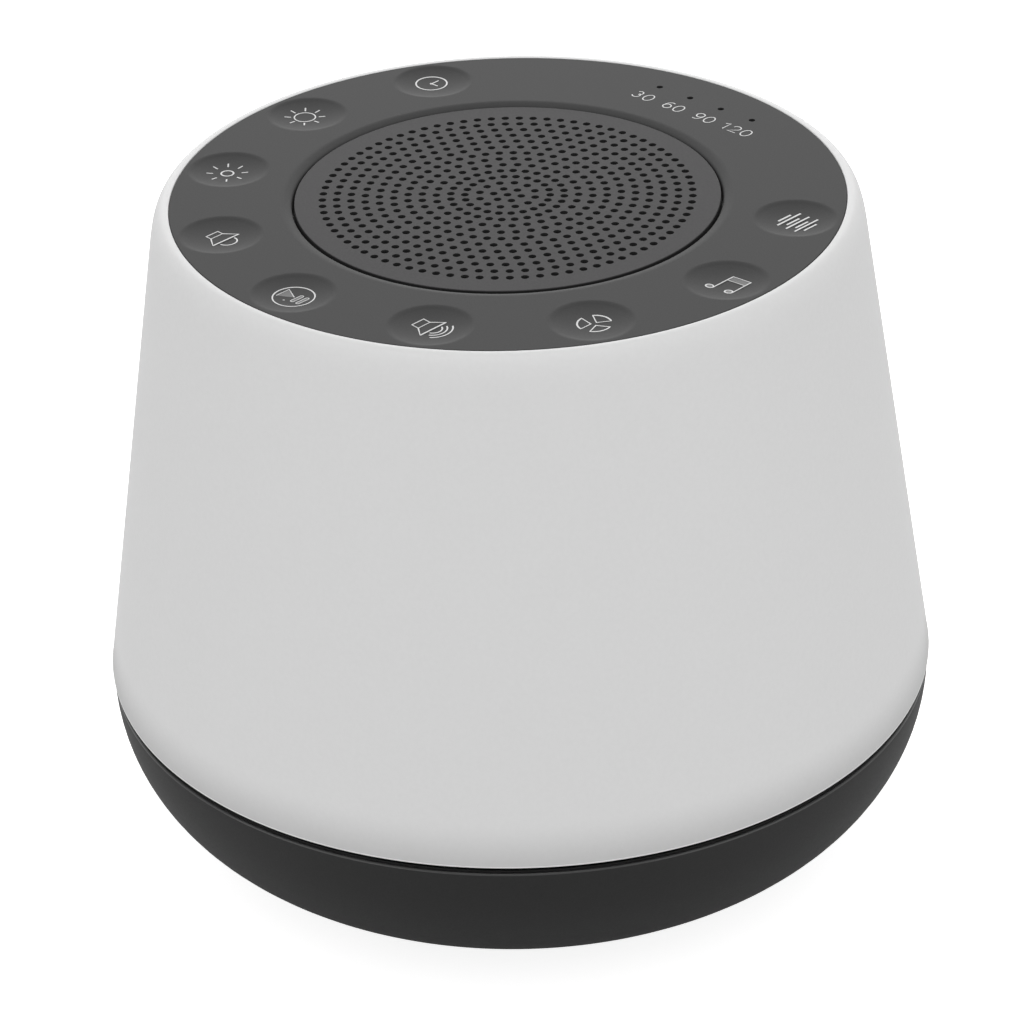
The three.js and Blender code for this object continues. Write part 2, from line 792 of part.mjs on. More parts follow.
// Back plate with the pole piece.
function makeYoke() {
  return turn(
    [
      [0, yokeTop - yokeThickness],
      [topPlateRadius, yokeTop - yokeThickness],
      [topPlateRadius, yokeTop],
      [poleRadius, yokeTop],
      [poleRadius, topPlateTop],
      [0, topPlateTop],
    ],
    innerSides,
  );
}

// Inner frame: a cup behind the speaker, ears for the deck posts, a flange for the lights, legs to the base.
function makeInnerFrame() {
  let frame = turn(
    [
      [0, frameFlangeHeight],
      [lightBoardRadius, frameFlangeHeight],
      [lightBoardRadius, frameFlangeTop],
      [chamberRadius, frameFlangeTop],
      [chamberRadius, earTop],
      [chamberRadius - frameWall, earTop],
      [chamberRadius - frameWall, frameFlangeTop],
      [0, frameFlangeTop],
    ],
    innerSides * 2,
  );
  const drill = [];
  for (const degrees of deckPostDegrees) {
    const [x, y] = polar(postCircleRadius, degrees);
    const wallMiddle = chamberRadius - frameWall / 2;
    const bridge = new THREE.BoxGeometry(postCircleRadius - wallMiddle, earRadius * 2, earThickness)
      .translate((postCircleRadius + wallMiddle) / 2, 0, (earTop + earBottom) / 2)
      .rotateZ(THREE.MathUtils.degToRad(degrees));
    frame = frame.add(toSolid(bridge)).add(post(earRadius, earBottom, earTop, keySides, x, y));
    drill.push(post(screwRadius + clearance, earBottom - overrun, earTop + overrun, smallSides, x, y));
  }
  for (const degrees of bossDegrees) {
    const [x, y] = polar(bossCircleRadius, degrees);
    frame = frame.add(post(legRadius, mainBoardTop + clearance, frameFlangeTop, keySides, x, y));
    frame = frame.add(post(legSpigotRadius, bossTop + clearance, frameFlangeTop, keySides, x, y));
    const pilotTop = mainBoardTop + baseScrewReach + pilotWall;
    drill.push(post(screwRadius + clearance, bossTop, pilotTop, smallSides, x, y));
  }
  drill.push(leadHole(speakerLeadRadius, speakerLeadDistance, frameFlangeHeight, frameFlangeTop));
  drill.push(leadHole(harnessRadius, postCircleRadius, frameFlangeHeight, frameFlangeTop));
  return drill.reduce((body, hole) => body.subtract(hole), frame);
}

// Hole for a lead at the back of the machine.
function leadHole(radius, distance, bottom, top) {
  return post(radius + clearance * 2, bottom - overrun, top + overrun, smallSides, 0, distance);
}

// Ring of lights round the inner frame.
function makeLightBoard() {
  const bore = chamberRadius + clearance;
  let board = ring(bore, lightBoardRadius, lightBoardBottom, lightBoardTop, innerSides * 2);
  for (const degrees of evenly(lightCount, firstLightDegrees)) {
    const light = new THREE.BoxGeometry(lightLength, lightWidth, lightHeight + overrun)
      .translate((bore + lightBoardRadius) / 2, 0, lightBoardTop - overrun + (lightHeight + overrun) / 2)
      .rotateZ(THREE.MathUtils.degToRad(degrees));
    board = board.add(toSolid(light));
  }
  return board.subtract(leadHole(harnessRadius, postCircleRadius, lightBoardBottom, lightBoardTop));
}

// Round main board with a tab under the power socket.
function makeMainBoard() {
  let board = post(mainBoardRadius, mainBoardHeight, mainBoardTop, innerSides * 2);
  board = board.add(
    block(
      [-mainBoardTabWidth / 2, 0, mainBoardHeight],
      [mainBoardTabWidth / 2, padInside - mainBoardTabGap, mainBoardTop],
    ),
  );
  for (const degrees of bossDegrees) {
    const [x, y] = polar(bossCircleRadius, degrees);
    const hole = legSpigotRadius + clearance;
    board = board.subtract(
      post(hole, mainBoardHeight - overrun, mainBoardTop + overrun, keySides, x, y),
    );
  }
  return board;
}

// A lead along a route of points.
function makeLead(points, radius) {
  const section = new THREE.Shape();
  section.setFromPoints(evenly(smallSides).map((degrees) => new THREE.Vector2(...polar(radius, degrees))));
  const route = new THREE.CatmullRomCurve3(points.map((point) => new THREE.Vector3(...point)));
  const along = { steps: leadSteps, extrudePath: route, curveSegments: 1 };
  return toSolid(new THREE.ExtrudeGeometry(section, along));
}

// Lead from the speaker's basket down to the main board.
function makeSpeakerLead() {
  const basketSide = flangeBoreRadius + basketWall + clearance;
  const start = (flangeBottom + rearRingTop) / 2 + basketWindowHeight / 2 + speakerLeadRadius;
  const bendEnd = rearRingTop;
  const shares = [0.3, 0.6];
  const run = bendEnd - frameFlangeTop;
  return makeLead(
    [
      [0, basketSide, start],
      [0, (basketSide + speakerLeadDistance) / 2, start - speakerLeadRadius / 4],
      [0, speakerLeadDistance, bendEnd],
      [leadSag, speakerLeadDistance, bendEnd - run * shares[0]],
      [-leadSag, speakerLeadDistance, bendEnd - run * shares[1]],
      [0, speakerLeadDistance, frameFlangeTop + frameWall],
      [0, speakerLeadDistance, frameFlangeHeight - frameWall],
      [0, speakerLeadDistance, mainBoardTop + clearance],
    ],
    speakerLeadRadius,
  );
}

// Lead from the key board down outside the chamber to the main board.
function makeKeyHarness() {
  const shares = [0.35, 0.7];
  const run = boardBottom - lightBoardTop;
  return makeLead(
    [
      [0, postCircleRadius, boardBottom - clearance],
      [leadSag, postCircleRadius, boardBottom - run * shares[0]],
      [-leadSag, postCircleRadius, boardBottom - run * shares[1]],
      [0, postCircleRadius, lightBoardTop + frameWall],
      [0, postCircleRadius, frameFlangeHeight - frameWall],
      [0, postCircleRadius, mainBoardTop + clearance],
    ],
    harnessRadius,
  );
}

// Screw with its head down and a slot in the head. It runs from its seat up to its tip.
function makeScrew(radius, head, headTall, seat, tip) {
  const half = head * driveSlotShare;
  const bottom = seat - headTall;
  const outline = [
    [0, bottom],
    [head, bottom],
    [head, seat],
    [radius, seat],
    [radius, tip - radius],
    [0, tip],
  ];
  const slot = block(
    [-half * 2, -half / 2, bottom - overrun],
    [half * 2, half / 2, bottom + headTall * driveSlotShare],
  );
  return turn(outline, smallSides).subtract(slot);
}

// Finishes, with colours as the photograph shows them.
const finishes = {
  shell: [0xd8d8d8, 0.35, 0],
  base: [0x3a3a3a, 0.6, 0],
  panel: [0x595959, 0.75, 0],
  grille: [0x5c5b5d, 0.65, 0],
  cloth: [0x0a0a0a, 0.95, 0],
  inner: [0xe4e4e0, 0.5, 0],
  board: [0x1f4d33, 0.5, 0],
  switchStem: [0x202020, 0.5, 0],
  guide: [0xf0f4f4, 0.2, 0],
  foam: [0x2a2a2a, 0.95, 0],
  steel: [0xb8b8b4, 0.35, 1],
  magnet: [0x303032, 0.7, 0],
  paper: [0x1d1d1d, 0.9, 0],
  copper: [0xb4653a, 0.35, 1],
  cotton: [0xb08a4a, 0.95, 0],
  rubber: [0x1c1c1c, 0.9, 0],
  wire: [0x26262a, 0.6, 0],
};

const materials = Object.fromEntries(
  Object.entries(finishes).map(([name, [color, roughness, metalness]]) => [
    name,
    new THREE.MeshStandardMaterial({ color, roughness, metalness }),
  ]),
);
materials.shell.transparent = true;
materials.shell.opacity = 0.9;

// Adds a named piece to a group, moved to x, y.
function addPiece(group, name, solid, finish, x = 0, y = 0) {
  const mesh = new THREE.Mesh(toGeometry(solid), materials[finish]);
  mesh.name = name;
  mesh.position.set(x, y, 0);
  group.add(mesh);
}

const machine = new THREE.Group();

const housing = new THREE.Group();
addPiece(housing, "diffuser_shell", makeDiffuserShell(), "shell");
addPiece(housing, "base_shell", makeBaseShell(), "base");
addPiece(housing, "inner_frame", makeInnerFrame(), "inner");
bossDegrees.forEach((degrees, i) => {
  const place = polar(bossCircleRadius, degrees);
  const tip = mainBoardTop + baseScrewReach;
  const screw = makeScrew(screwRadius, headRadius, headHeight, headSeatHeight - clearance, tip);
  addPiece(housing, `foot_${i + 1}`, makeFoot(), "rubber", ...place);
  addPiece(housing, `base_screw_${i + 1}`, screw, "steel", ...place);
});
machine.add(housing);

const topAssembly = new THREE.Group();
addPiece(topAssembly, "keypad_panel", makeKeypadPanel(), "panel");
addPiece(topAssembly, "speaker_grille", makeSpeakerGrille(), "grille");
addPiece(topAssembly, "grille_cloth", makeGrilleCloth(), "cloth");
addPiece(topAssembly, "top_deck", makeTopDeck(), "inner");
addPiece(topAssembly, "timer_light_guide", makeTimerLightGuide(), "guide");
addPiece(topAssembly, "key_board", makeKeyBoard(), "board");
keyNames.forEach((name, i) => {
  const place = polar(keyCircleRadius, keyDegrees[i]);
  addPiece(topAssembly, `${name}_key`, makeKey(), "panel", ...place);
  addPiece(topAssembly, `${name}_switch_stem`, makeStem(), "switchStem", ...place);
});
deckPostDegrees.forEach((degrees, i) => {
  const screw = makeScrew(screwRadius, headRadius, headHeight, earBottom - clearance, deckScrewTip);
  addPiece(topAssembly, `deck_screw_${i + 1}`, screw, "steel", ...polar(postCircleRadius, degrees));
});
boardPostDegrees.forEach((degrees, i) => {
  const screw = makeScrew(screwRadius, headRadius, headHeight, boardBottom - clearance, deckScrewTip);
  addPiece(topAssembly, `key_board_screw_${i + 1}`, screw, "steel", ...polar(postCircleRadius, degrees));
});
machine.add(topAssembly);

const speaker = new THREE.Group();
addPiece(speaker, "speaker_gasket", makeSpeakerGasket(), "foam");
addPiece(speaker, "speaker_frame", makeSpeakerFrame(), "steel");
addPiece(speaker, "speaker_cone", makeSpeakerCone(), "paper");
addPiece(speaker, "dust_cap", makeDustCap(), "paper");
addPiece(speaker, "surround", makeSurround(), "rubber");
addPiece(speaker, "spider", makeSpider(), "cotton");
addPiece(speaker, "voice_coil", makeVoiceCoil(), "copper");
addPiece(speaker, "top_plate", makeTopPlate(), "steel");
addPiece(speaker, "magnet", makeMagnet(), "magnet");
addPiece(speaker, "yoke", makeYoke(), "steel");
speakerScrewDegrees.forEach((degrees, i) => {
  const seat = flangeBottom - clearance;
  const screw = makeScrew(smallScrewRadius, smallHeadRadius, smallHeadHeight, seat, deckScrewTip);
  addPiece(speaker, `speaker_screw_${i + 1}`, screw, "steel", ...polar(speakerBossCircle, degrees));
});
machine.add(speaker);

const electronics = new THREE.Group();
addPiece(electronics, "light_board", makeLightBoard(), "board");
addPiece(electronics, "main_board", makeMainBoard(), "board");
addPiece(electronics, "usb_socket", makeUsbSocket(), "steel");
addPiece(electronics, "speaker_lead", makeSpeakerLead(), "wire");
addPiece(electronics, "key_harness", makeKeyHarness(), "wire");
machine.add(electronics);

export default machine;
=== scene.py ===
"""Looks of a white noise sound machine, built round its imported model.

Everything is in metres in the frame of the CAD: +Z up, the origin on the table, the play key at -Y.
Sizes in the classes are in millimetres, apart from the studio's floor and lamps, and are turned to metres
when a mesh is made.
"""

import json
import logging
import math
from dataclasses import dataclass, field, replace
from enum import Enum
from typing import Iterable, Optional, Sequence

import bmesh
import bpy
from mathutils import Matrix, Vector
from mathutils.geometry import delaunay_2d_cdt


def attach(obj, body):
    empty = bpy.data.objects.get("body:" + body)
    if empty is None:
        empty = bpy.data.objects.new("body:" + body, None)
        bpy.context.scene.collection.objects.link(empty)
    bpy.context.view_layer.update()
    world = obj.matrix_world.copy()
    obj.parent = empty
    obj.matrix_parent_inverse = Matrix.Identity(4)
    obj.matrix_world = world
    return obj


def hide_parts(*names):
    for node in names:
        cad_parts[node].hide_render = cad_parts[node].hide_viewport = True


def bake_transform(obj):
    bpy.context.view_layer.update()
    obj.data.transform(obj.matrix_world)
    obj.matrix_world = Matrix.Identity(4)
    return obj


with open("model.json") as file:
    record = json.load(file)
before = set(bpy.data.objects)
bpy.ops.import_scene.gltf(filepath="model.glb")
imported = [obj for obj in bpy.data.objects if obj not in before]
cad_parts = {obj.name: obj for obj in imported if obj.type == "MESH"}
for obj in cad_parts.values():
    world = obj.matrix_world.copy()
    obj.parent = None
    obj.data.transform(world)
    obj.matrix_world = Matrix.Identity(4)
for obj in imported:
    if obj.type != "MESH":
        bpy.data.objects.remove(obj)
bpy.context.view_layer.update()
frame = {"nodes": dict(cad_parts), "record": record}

MM = 0.001
HOUSING = "housing"
LOG = logging.getLogger("sound_machine")

Point = tuple[float, float]


# Finishes


def linear(hex_colour: str) -> tuple[float, float, float, float]:
    """Turns an sRGB hex colour to linear.

    Args:
        hex_colour: Six hex digits, with or without a leading hash.

    Returns:
        Linear red, green, blue and an alpha of 1.
    """
    digits = hex_colour.lstrip("#")
    levels = [int(digits[i : i + 2], 16) / 255 for i in (0, 2, 4)]
    red, green, blue = (v / 12.92 if v <= 0.04045 else ((v + 0.055) / 1.055) ** 2.4 for v in levels)
    return red, green, blue, 1.0


def add_node(
    tree: bpy.types.NodeTree, kind: str, settings: Optional[dict[str, object]] = None, **inputs: object
) -> bpy.types.Node:
    """Adds a shader node, sets it and links it.

    Args:
        tree: The node tree that takes the node.
        kind: The node's type name.
        settings: Attributes of the node, by name.
        **inputs: A value or an output socket for each input, by its name with underscores for spaces, or by
            its place after an underscore where names repeat.

    Returns:
        The new node.
    """
    node = tree.nodes.new(kind)
    for name, value in (settings or {}).items():
        setattr(node, name, value)
    for name, value in inputs.items():
        socket = node.inputs[int(name[1:])] if name[0] == "_" else node.inputs[name.replace("_", " ")]
        if isinstance(value, bpy.types.NodeSocket):
            tree.links.new(value, socket)
        else:
            socket.default_value = value
    return node


class Surface(Enum):
    """How a surface was made, which decides its pattern."""

    MOULDED = "moulded"
    WOVEN = "woven"
    BRUSHED = "brushed"
    PRESSED = "pressed"
    WOUND = "wound"


# A brushed metal's pattern is drawn out along X and Z by these scales, so its lines are thin across Y.
BRUSHED_STRETCH = (0.08, 1, 0.08)
# How far a surface's roughness goes to either side of its mean, with its pattern.
ROUGHNESS_SPREAD = 0.06
# How deep light goes into the shell, in millimetres.
SCATTER_DEPTH = 2.0


@dataclass(frozen=True)
class Finish:
    """A material, named for what the real one is, or for the painted light that it stands for.

    Attributes:
        name: The material's name.
        colour: Its main colour, as sRGB hex.
        shade: The darker colour in its pattern.
        surface: How the surface was made.
        grain: The size of its pattern in millimetres.
        relief: The height of its pattern in millimetres.
        roughness: Its mean roughness.
        metallic: 1 for a bare metal.
        ior: Its index of refraction. A metal keeps the default.
        subsurface: The share of light that goes into it.
        transmission: The share of light that goes through it.
        lower_shade: A band of painted shade that darkens downwards: its lowest and highest height in
        millimetres, and its darkest level.
    """

    name: str
    colour: str
    shade: str
    surface: Surface = Surface.MOULDED
    grain: float = 0.3
    relief: float = 0.004
    roughness: float = 0.5
    metallic: float = 0.0
    ior: float = 1.5
    subsurface: float = 0.0
    transmission: float = 0.0
    lower_shade: Optional[tuple[float, float, float]] = None

    def pattern(self, tree: bpy.types.NodeTree) -> bpy.types.NodeSocket:
        """Adds the pattern of the surface.

        Args:
            tree: The material's node tree.

        Returns:
            A socket from 0 to 1.
        """
        place = add_node(tree, "ShaderNodeTexCoord").outputs["Object"]
        scale = 1 / (self.grain * MM)
        if self.surface in (Surface.WOVEN, Surface.WOUND):
            # A wave's band repeats every pi / 10 at a scale of 1.
            turns = scale * math.pi / 10
            across = {"bands_direction": "Z" if self.surface is Surface.WOUND else "X"}
            wave = add_node(tree, "ShaderNodeTexWave", across, Vector=place, Scale=turns, Distortion=0.3)
            if self.surface is Surface.WOUND:
                return wave.outputs["Fac"]
            along = add_node(tree, "ShaderNodeTexWave", {"bands_direction": "Y"}, Vector=place, Scale=turns)
            both = {"operation": "MULTIPLY"}
            cross = add_node(tree, "ShaderNodeMath", both, _0=wave.outputs["Fac"], _1=along.outputs["Fac"])
            return cross.outputs[0]
        if self.surface is Surface.BRUSHED:
            place = add_node(tree, "ShaderNodeMapping", Vector=place, Scale=BRUSHED_STRETCH).outputs["Vector"]
        detail = 6.0 if self.surface is Surface.PRESSED else 2.0
        return add_node(tree, "ShaderNodeTexNoise", Vector=place, Scale=scale, Detail=detail).outputs["Fac"]

    def darkened(self, tree: bpy.types.NodeTree, colour: bpy.types.NodeSocket) -> bpy.types.NodeSocket:
        """Paints shade onto a colour: darker downwards, across the band of the lower shade.

        Args:
            tree: The material's node tree.
            colour: The colour to darken.

        Returns:
            A socket with the darkened colour.
        """
        low, high, level = self.lower_shade
        place = add_node(tree, "ShaderNodeTexCoord").outputs["Object"]
        height = add_node(tree, "ShaderNodeSeparateXYZ", Vector=place).outputs["Z"]
        band = {"From_Min": low * MM, "From_Max": high * MM, "To_Min": level, "To_Max": 1.0}
        smooth = {"interpolation_type": "SMOOTHSTEP"}
        share = add_node(tree, "ShaderNodeMapRange", smooth, Value=height, **band).outputs[0]
        multiply = {"data_type": "RGBA", "blend_type": "MULTIPLY"}
        return add_node(tree, "ShaderNodeMix", multiply, Factor=1.0, _6=colour, _7=share).outputs[2]

    def material(self) -> bpy.types.Material:
        """Builds the material once and keeps it.

        Returns:
            The Blender material.
        """
        known = bpy.data.materials.get(self.name)
        if known:
            return known
        made = bpy.data.materials.new(self.name)
        made.use_nodes = True
        tree = made.node_tree
        shader = tree.nodes["Principled BSDF"]
        pattern = self.pattern(tree)
        dark, light = linear(self.shade), linear(self.colour)
        mixed = add_node(tree, "ShaderNodeMix", {"data_type": "RGBA"}, Factor=pattern, _6=dark, _7=light)
        colour = mixed.outputs[2]
        if self.lower_shade:
            colour = self.darkened(tree, colour)
        dull, bright = self.roughness + ROUGHNESS_SPREAD, self.roughness - ROUGHNESS_SPREAD
        rough = add_node(tree, "ShaderNodeMapRange", Value=pattern, To_Min=dull, To_Max=bright)
        bump = add_node(tree, "ShaderNodeBump", Height=pattern, Distance=self.relief * MM, Strength=1.0)
        tree.links.new(colour, shader.inputs["Base Color"])
        tree.links.new(rough.outputs[0], shader.inputs["Roughness"])
        tree.links.new(bump.outputs[0], shader.inputs["Normal"])
        shader.inputs["Metallic"].default_value = self.metallic
        if not self.metallic:
            shader.inputs["IOR"].default_value = self.ior
        if self.subsurface:
            shader.inputs["Subsurface Weight"].default_value = self.subsurface
            shader.inputs["Subsurface Scale"].default_value = SCATTER_DEPTH * MM
            shader.inputs["Subsurface Radius"].default_value = (1.0, 1.0, 1.0)
        if self.transmission:
            shader.inputs["Transmission Weight"].default_value = self.transmission
        return made


# The grain of a spark-eroded mould is 0.02 to 0.1 mm across. That is too fine to show, so it is drawn at
# 0.25 to 0.6 mm.

# Opal polycarbonate, spark-eroded mould: a satin white that lets some light in, which softens its shadows.
OPAL_SHELL = Finish(
    "opal_polycarbonate", "#DDDDDD", "#D9D9D9", grain=0.6, relief=0.002, roughness=0.62, subsurface=0.2
)
# Painted shade: lower down, the wall is painted darker towards the seam with the dark base.
OPAL_WALL_PAINTED_SHADE = replace(OPAL_SHELL, name="opal_polycarbonate_painted_shade", lower_shade=(22.5, 31.0, 0.66))
# ABS, spark-eroded mould: dark, dull and even.
DARK_ABS = Finish(
    "spark_eroded_dark_abs", "#0F0F0F", "#0B0B0B", grain=0.25, relief=0.006, roughness=0.6, ior=1.42
)
# The parting edge of the same moulding is left smooth by the steel; its much lighter colour is a painted
# highlight along the rim.
SMOOTH_ABS_PAINTED_HIGHLIGHT = Finish("smooth_dark_abs_painted_highlight", "#2E2E2E", "#2A2A2A", grain=0.25, relief=0.0, roughness=0.3)
# Silicone with a soft-touch coat: even dark grey, hardly any highlight.
SOFT_SILICONE = Finish(
    "soft_touch_silicone", "#373737", "#333333", grain=0.2, relief=0.003, roughness=0.78, ior=1.41
)
# ABS grille, fine spark-eroded mould: a shade darker than the keypad and hardly less dull.
GRILLE_ABS = Finish(
    "satin_grille_abs", "#333233", "#2F2E2F", grain=0.25, relief=0.003, roughness=0.76, ior=1.43
)
# Painted shade: near-black on the walls of the small holes, on the grille's skirt and in the groove at the
# seam, so that they all look empty and unlit.
PAINTED_SHADE_BLACK = Finish("black_painted_shade", "#050505", "#020202", grain=0.3, relief=0.002, roughness=0.8)
# Screen-printed ink: light, slightly uneven where it is thin.
WHITE_INK = Finish("screen_printed_white_ink", "#D8D8D8", "#CECECE", grain=0.15, relief=0.001, roughness=0.6)
# The same ink in a fine screen, which lets half of the grey below through.
GREY_INK = Finish("screen_printed_grey_ink", "#606060", "#585858", grain=0.15, relief=0.001, roughness=0.6)
# Moulded feet: dull black rubber.
FOOT_RUBBER = Finish(
    "moulded_foot_rubber", "#222222", "#1B1B1B", grain=0.5, relief=0.01, roughness=0.85, ior=1.52
)
# Bare metals, rolled or brushed: fine lines and a soft sheen. The sheets, screws and contacts start from it.
METAL = Finish("", "", "", Surface.BRUSHED, grain=0.3, roughness=0.4, metallic=1.0)
# Nickel-plated socket shell, rolled from sheet: warm and bright.
NICKEL_PLATE = replace(
    METAL,
    name="nickel_plated_socket_steel",
    colour="#C6C4BE",
    shade="#B4B2AC",
    grain=0.1,
    relief=0.001,
    roughness=0.3,
)
# Moulded nylon tongue: plain black.
SOCKET_TONGUE = Finish("black_nylon_tongue", "#161616", "#101010", grain=0.2, relief=0.002, roughness=0.5)
# Gold-plated contacts: thin bright strips.
GOLD_CONTACT = replace(
    METAL,
    name="gold_plated_contact",
    colour="#D8B25A",
    shade="#C9A24A",
    grain=0.05,
    relief=0.0005,
    roughness=0.25,
)

# Finishes of the CAD nodes that stay, by the record's material slot.
INNER_FINISHES: dict[str, Finish] = {
    # Moulded white ABS: bright and even, so it spreads the lamp's light.
    "inner": Finish("moulded_white_abs", "#E3E3E0", "#DADAD6", grain=0.5),
    # Woven polyester dust cloth: black, with a thread every 0.3 mm.
    "cloth": Finish(
        "black_woven_polyester", "#121212", "#060606", Surface.WOVEN, grain=0.3, relief=0.05, roughness=0.95
    ),
    # Moulded clear acrylic: polished, it lets the timer lights through.
    "guide": Finish(
        "clear_acrylic", "#F0F4F4", "#E8ECEC", grain=0.8, relief=0.0, roughness=0.1, ior=1.49, transmission=0.9
    ),
    # Circuit board, solder mask on pressed glass laminate: green, slightly mottled.
    "board": Finish(
        "solder_mask_on_glass_laminate", "#1F5A38", "#184A2D", Surface.PRESSED, grain=1.2, roughness=0.4
    ),
    # Moulded nylon: plain black.
    "switch_stem": Finish("moulded_black_nylon", "#202020", "#181818"),
    # Closed-cell foam gasket, pressed in sheets: dull and pitted.
    "foam": Finish(
        "closed_cell_foam", "#2A2A2A", "#161616", Surface.PRESSED, grain=0.4, relief=0.06, roughness=0.95
    ),
    # Zinc-plated sheet steel: pale grey, with the faint lines of rolling.
    "steel": replace(METAL, name="zinc_plated_sheet_steel", colour="#B9B9B4", shade="#A9A9A4"),
    # Zinc-plated screws: a little darker and glossier than the sheet.
    "screw": replace(
        METAL, name="zinc_plated_screw_steel", colour="#A8A8A2", shade="#94948E", grain=0.2, roughness=0.35
    ),
    # Pressed and sintered ferrite: dark grey, with a rough skin.
    "magnet": Finish(
        "sintered_ferrite", "#303033", "#242427", Surface.PRESSED, grain=0.6, relief=0.02, roughness=0.7
    ),
    # Pressed pulp paper: black, dull and uneven.
    "paper": Finish(
        "black_pulp_paper", "#242424", "#151515", Surface.PRESSED, grain=0.9, relief=0.05, roughness=0.95
    ),
    # Enamelled copper wire, wound: a turn every 0.18 mm.
    "copper": Finish(
        "enamelled_copper_winding",
        "#C07A4C",
        "#8C4E2A",
        Surface.WOUND,
        grain=0.18,
        relief=0.05,
        roughness=0.35,
        metallic=1.0,
    ),
    # Resin-dipped cotton: brown, with a coarse weave.
    "cotton": Finish(
        "resin_dipped_cotton", "#B08A4A", "#8E6C36", Surface.WOVEN, grain=0.5, relief=0.08, roughness=0.9
    ),
    # Moulded butyl rubber: dull black.
    "rubber": Finish(
        "butyl_surround_rubber", "#1E1E1E", "#171717", grain=0.4, relief=0.006, roughness=0.8, ior=1.52
    ),
    # Extruded silicone sleeve: dark and soft.
    "wire": Finish("silicone_wire_sleeve", "#2A2A2E", "#222226", grain=0.5, roughness=0.6, ior=1.41),
}


# Mesh helpers

# Points nearer than this are joined, in millimetres.
WELD = 1e-5
# Edges under this angle in degrees are shaded smooth.
SMOOTH_BELOW = 35.0
# The triangulation's output type that keeps the triangles inside the outlines.
INSIDE_ONLY = 1
# How near its points may come before they count as one, in millimetres.
TOUCHING = 1e-7


def oval(centre: Point, size: Point, sides: int) -> list[Point]:
    """Gives the corners of an oval, in millimetres, from its centre and its two radii."""
    turns = (2 * math.pi * i / sides for i in range(sides))
    return [(centre[0] + size[0] * math.cos(t), centre[1] + size[1] * math.sin(t)) for t in turns]


def circle(radius: float, sides: int, x: float = 0.0, y: float = 0.0) -> list[Point]:
    """Gives the corners of a round outline, in millimetres."""
    return oval((x, y), (radius, radius), sides)


def arc(x: float, y: float, radius: float, start: float, end: float, steps: int = 12) -> list[Point]:
    """Gives points along an arc.

    Args:
        x: Centre of the arc.
        y: Centre of the arc.
        radius: Radius of the arc.
        start: First angle in degrees.
        end: Last angle in degrees.
        steps: Number of chords.

    Returns:
        The points from start to end.
    """
    turns = (math.radians(start + (end - start) * i / steps) for i in range(steps + 1))
    return [(x + radius * math.cos(t), y + radius * math.sin(t)) for t in turns]


def bezier(a: Point, b: Point, c: Point, d: Point, steps: int) -> list[Point]:
    """Gives points along a cubic curve.

    Args:
        a: Its start.
        b: The start's handle.
        c: The end's handle.
        d: Its end.
        steps: Number of chords.

    Returns:
        The points from start to end.
    """
    points = []
    for i in range(steps + 1):
        t = i / steps
        weights = ((1 - t) ** 3, 3 * t * (1 - t) ** 2, 3 * t * t * (1 - t), t**3)
        points.append(tuple(sum(w * p[k] for w, p in zip(weights, (a, b, c, d))) for k in (0, 1)))
    return points


def to_object(name: str, mesh: bmesh.types.BMesh, *finishes: Finish) -> bpy.types.Object:
    """Turns a mesh in millimetres to an object in metres.

    Args:
        name: The piece's name.
        mesh: The mesh, which is used up.
        *finishes: The piece's finish, then one for each further material index.

    Returns:
        The new object, in the scene.
    """
    bmesh.ops.remove_doubles(mesh, verts=mesh.verts, dist=WELD)
    bmesh.ops.recalc_face_normals(mesh, faces=mesh.faces)
    bmesh.ops.scale(mesh, vec=(MM, MM, MM), verts=mesh.verts)
    data = bpy.data.meshes.new(name)
    mesh.to_mesh(data)
    mesh.free()
    # Marking the sharp edges makes every face smooth, so the flat ones are set again after it.
    smooth = [face.use_smooth for face in data.polygons]
    data.set_sharp_from_angle(angle=math.radians(SMOOTH_BELOW))
    data.polygons.foreach_set("use_smooth", smooth)
    for finish in finishes:
        data.materials.append(finish.material())
    made = bpy.data.objects.new(name, data)
    bpy.context.scene.collection.objects.link(made)
    return made


def append_mesh(mesh: bmesh.types.BMesh, part: bmesh.types.BMesh) -> None:
    """Adds one mesh to another.

    Args:
        mesh: The mesh that takes it.
        part: The mesh to add, which is used up.
    """
    temporary = bpy.data.meshes.new("part")
    part.to_mesh(temporary)
    part.free()
    mesh.from_mesh(temporary)
    bpy.data.meshes.remove(temporary)


def add_turned(
    mesh: bmesh.types.BMesh,
    outline: Sequence[Point],
    sides: int,
    x: float = 0.0,
    y: float = 0.0,
    index: int = 0,
) -> None:
    """Adds a turned skin.

    Args:
        mesh: The mesh that takes it.
        outline: Points as radius and height. A point on the axis closes the skin there.
        sides: Number of sides.
        x: Place of the axis.
        y: Place of the axis.
        index: Material index of its faces.
    """
    rings = []
    for radius, height in outline:
        if radius < WELD:
            rings.append([mesh.verts.new((x, y, height))] * sides)
        else:
            rings.append([mesh.verts.new((px, py, height)) for px, py in circle(radius, sides, x, y)])
    for low, high in zip(rings, rings[1:]):
        for i in range(sides):
            j = (i + 1) % sides
            corners = list(dict.fromkeys((low[i], low[j], high[j], high[i])))
            if len(corners) > 2:
                face = mesh.faces.new(corners)
                face.material_index = index
                face.smooth = True


def add_ring(mesh: bmesh.types.BMesh, bore: float, radius: float, bottom: float, top: float) -> None:
    """Adds a closed ring with a rectangular section."""
    section = [(bore, bottom), (radius, bottom), (radius, top), (bore, top), (bore, bottom)]
    add_turned(mesh, section, 96)


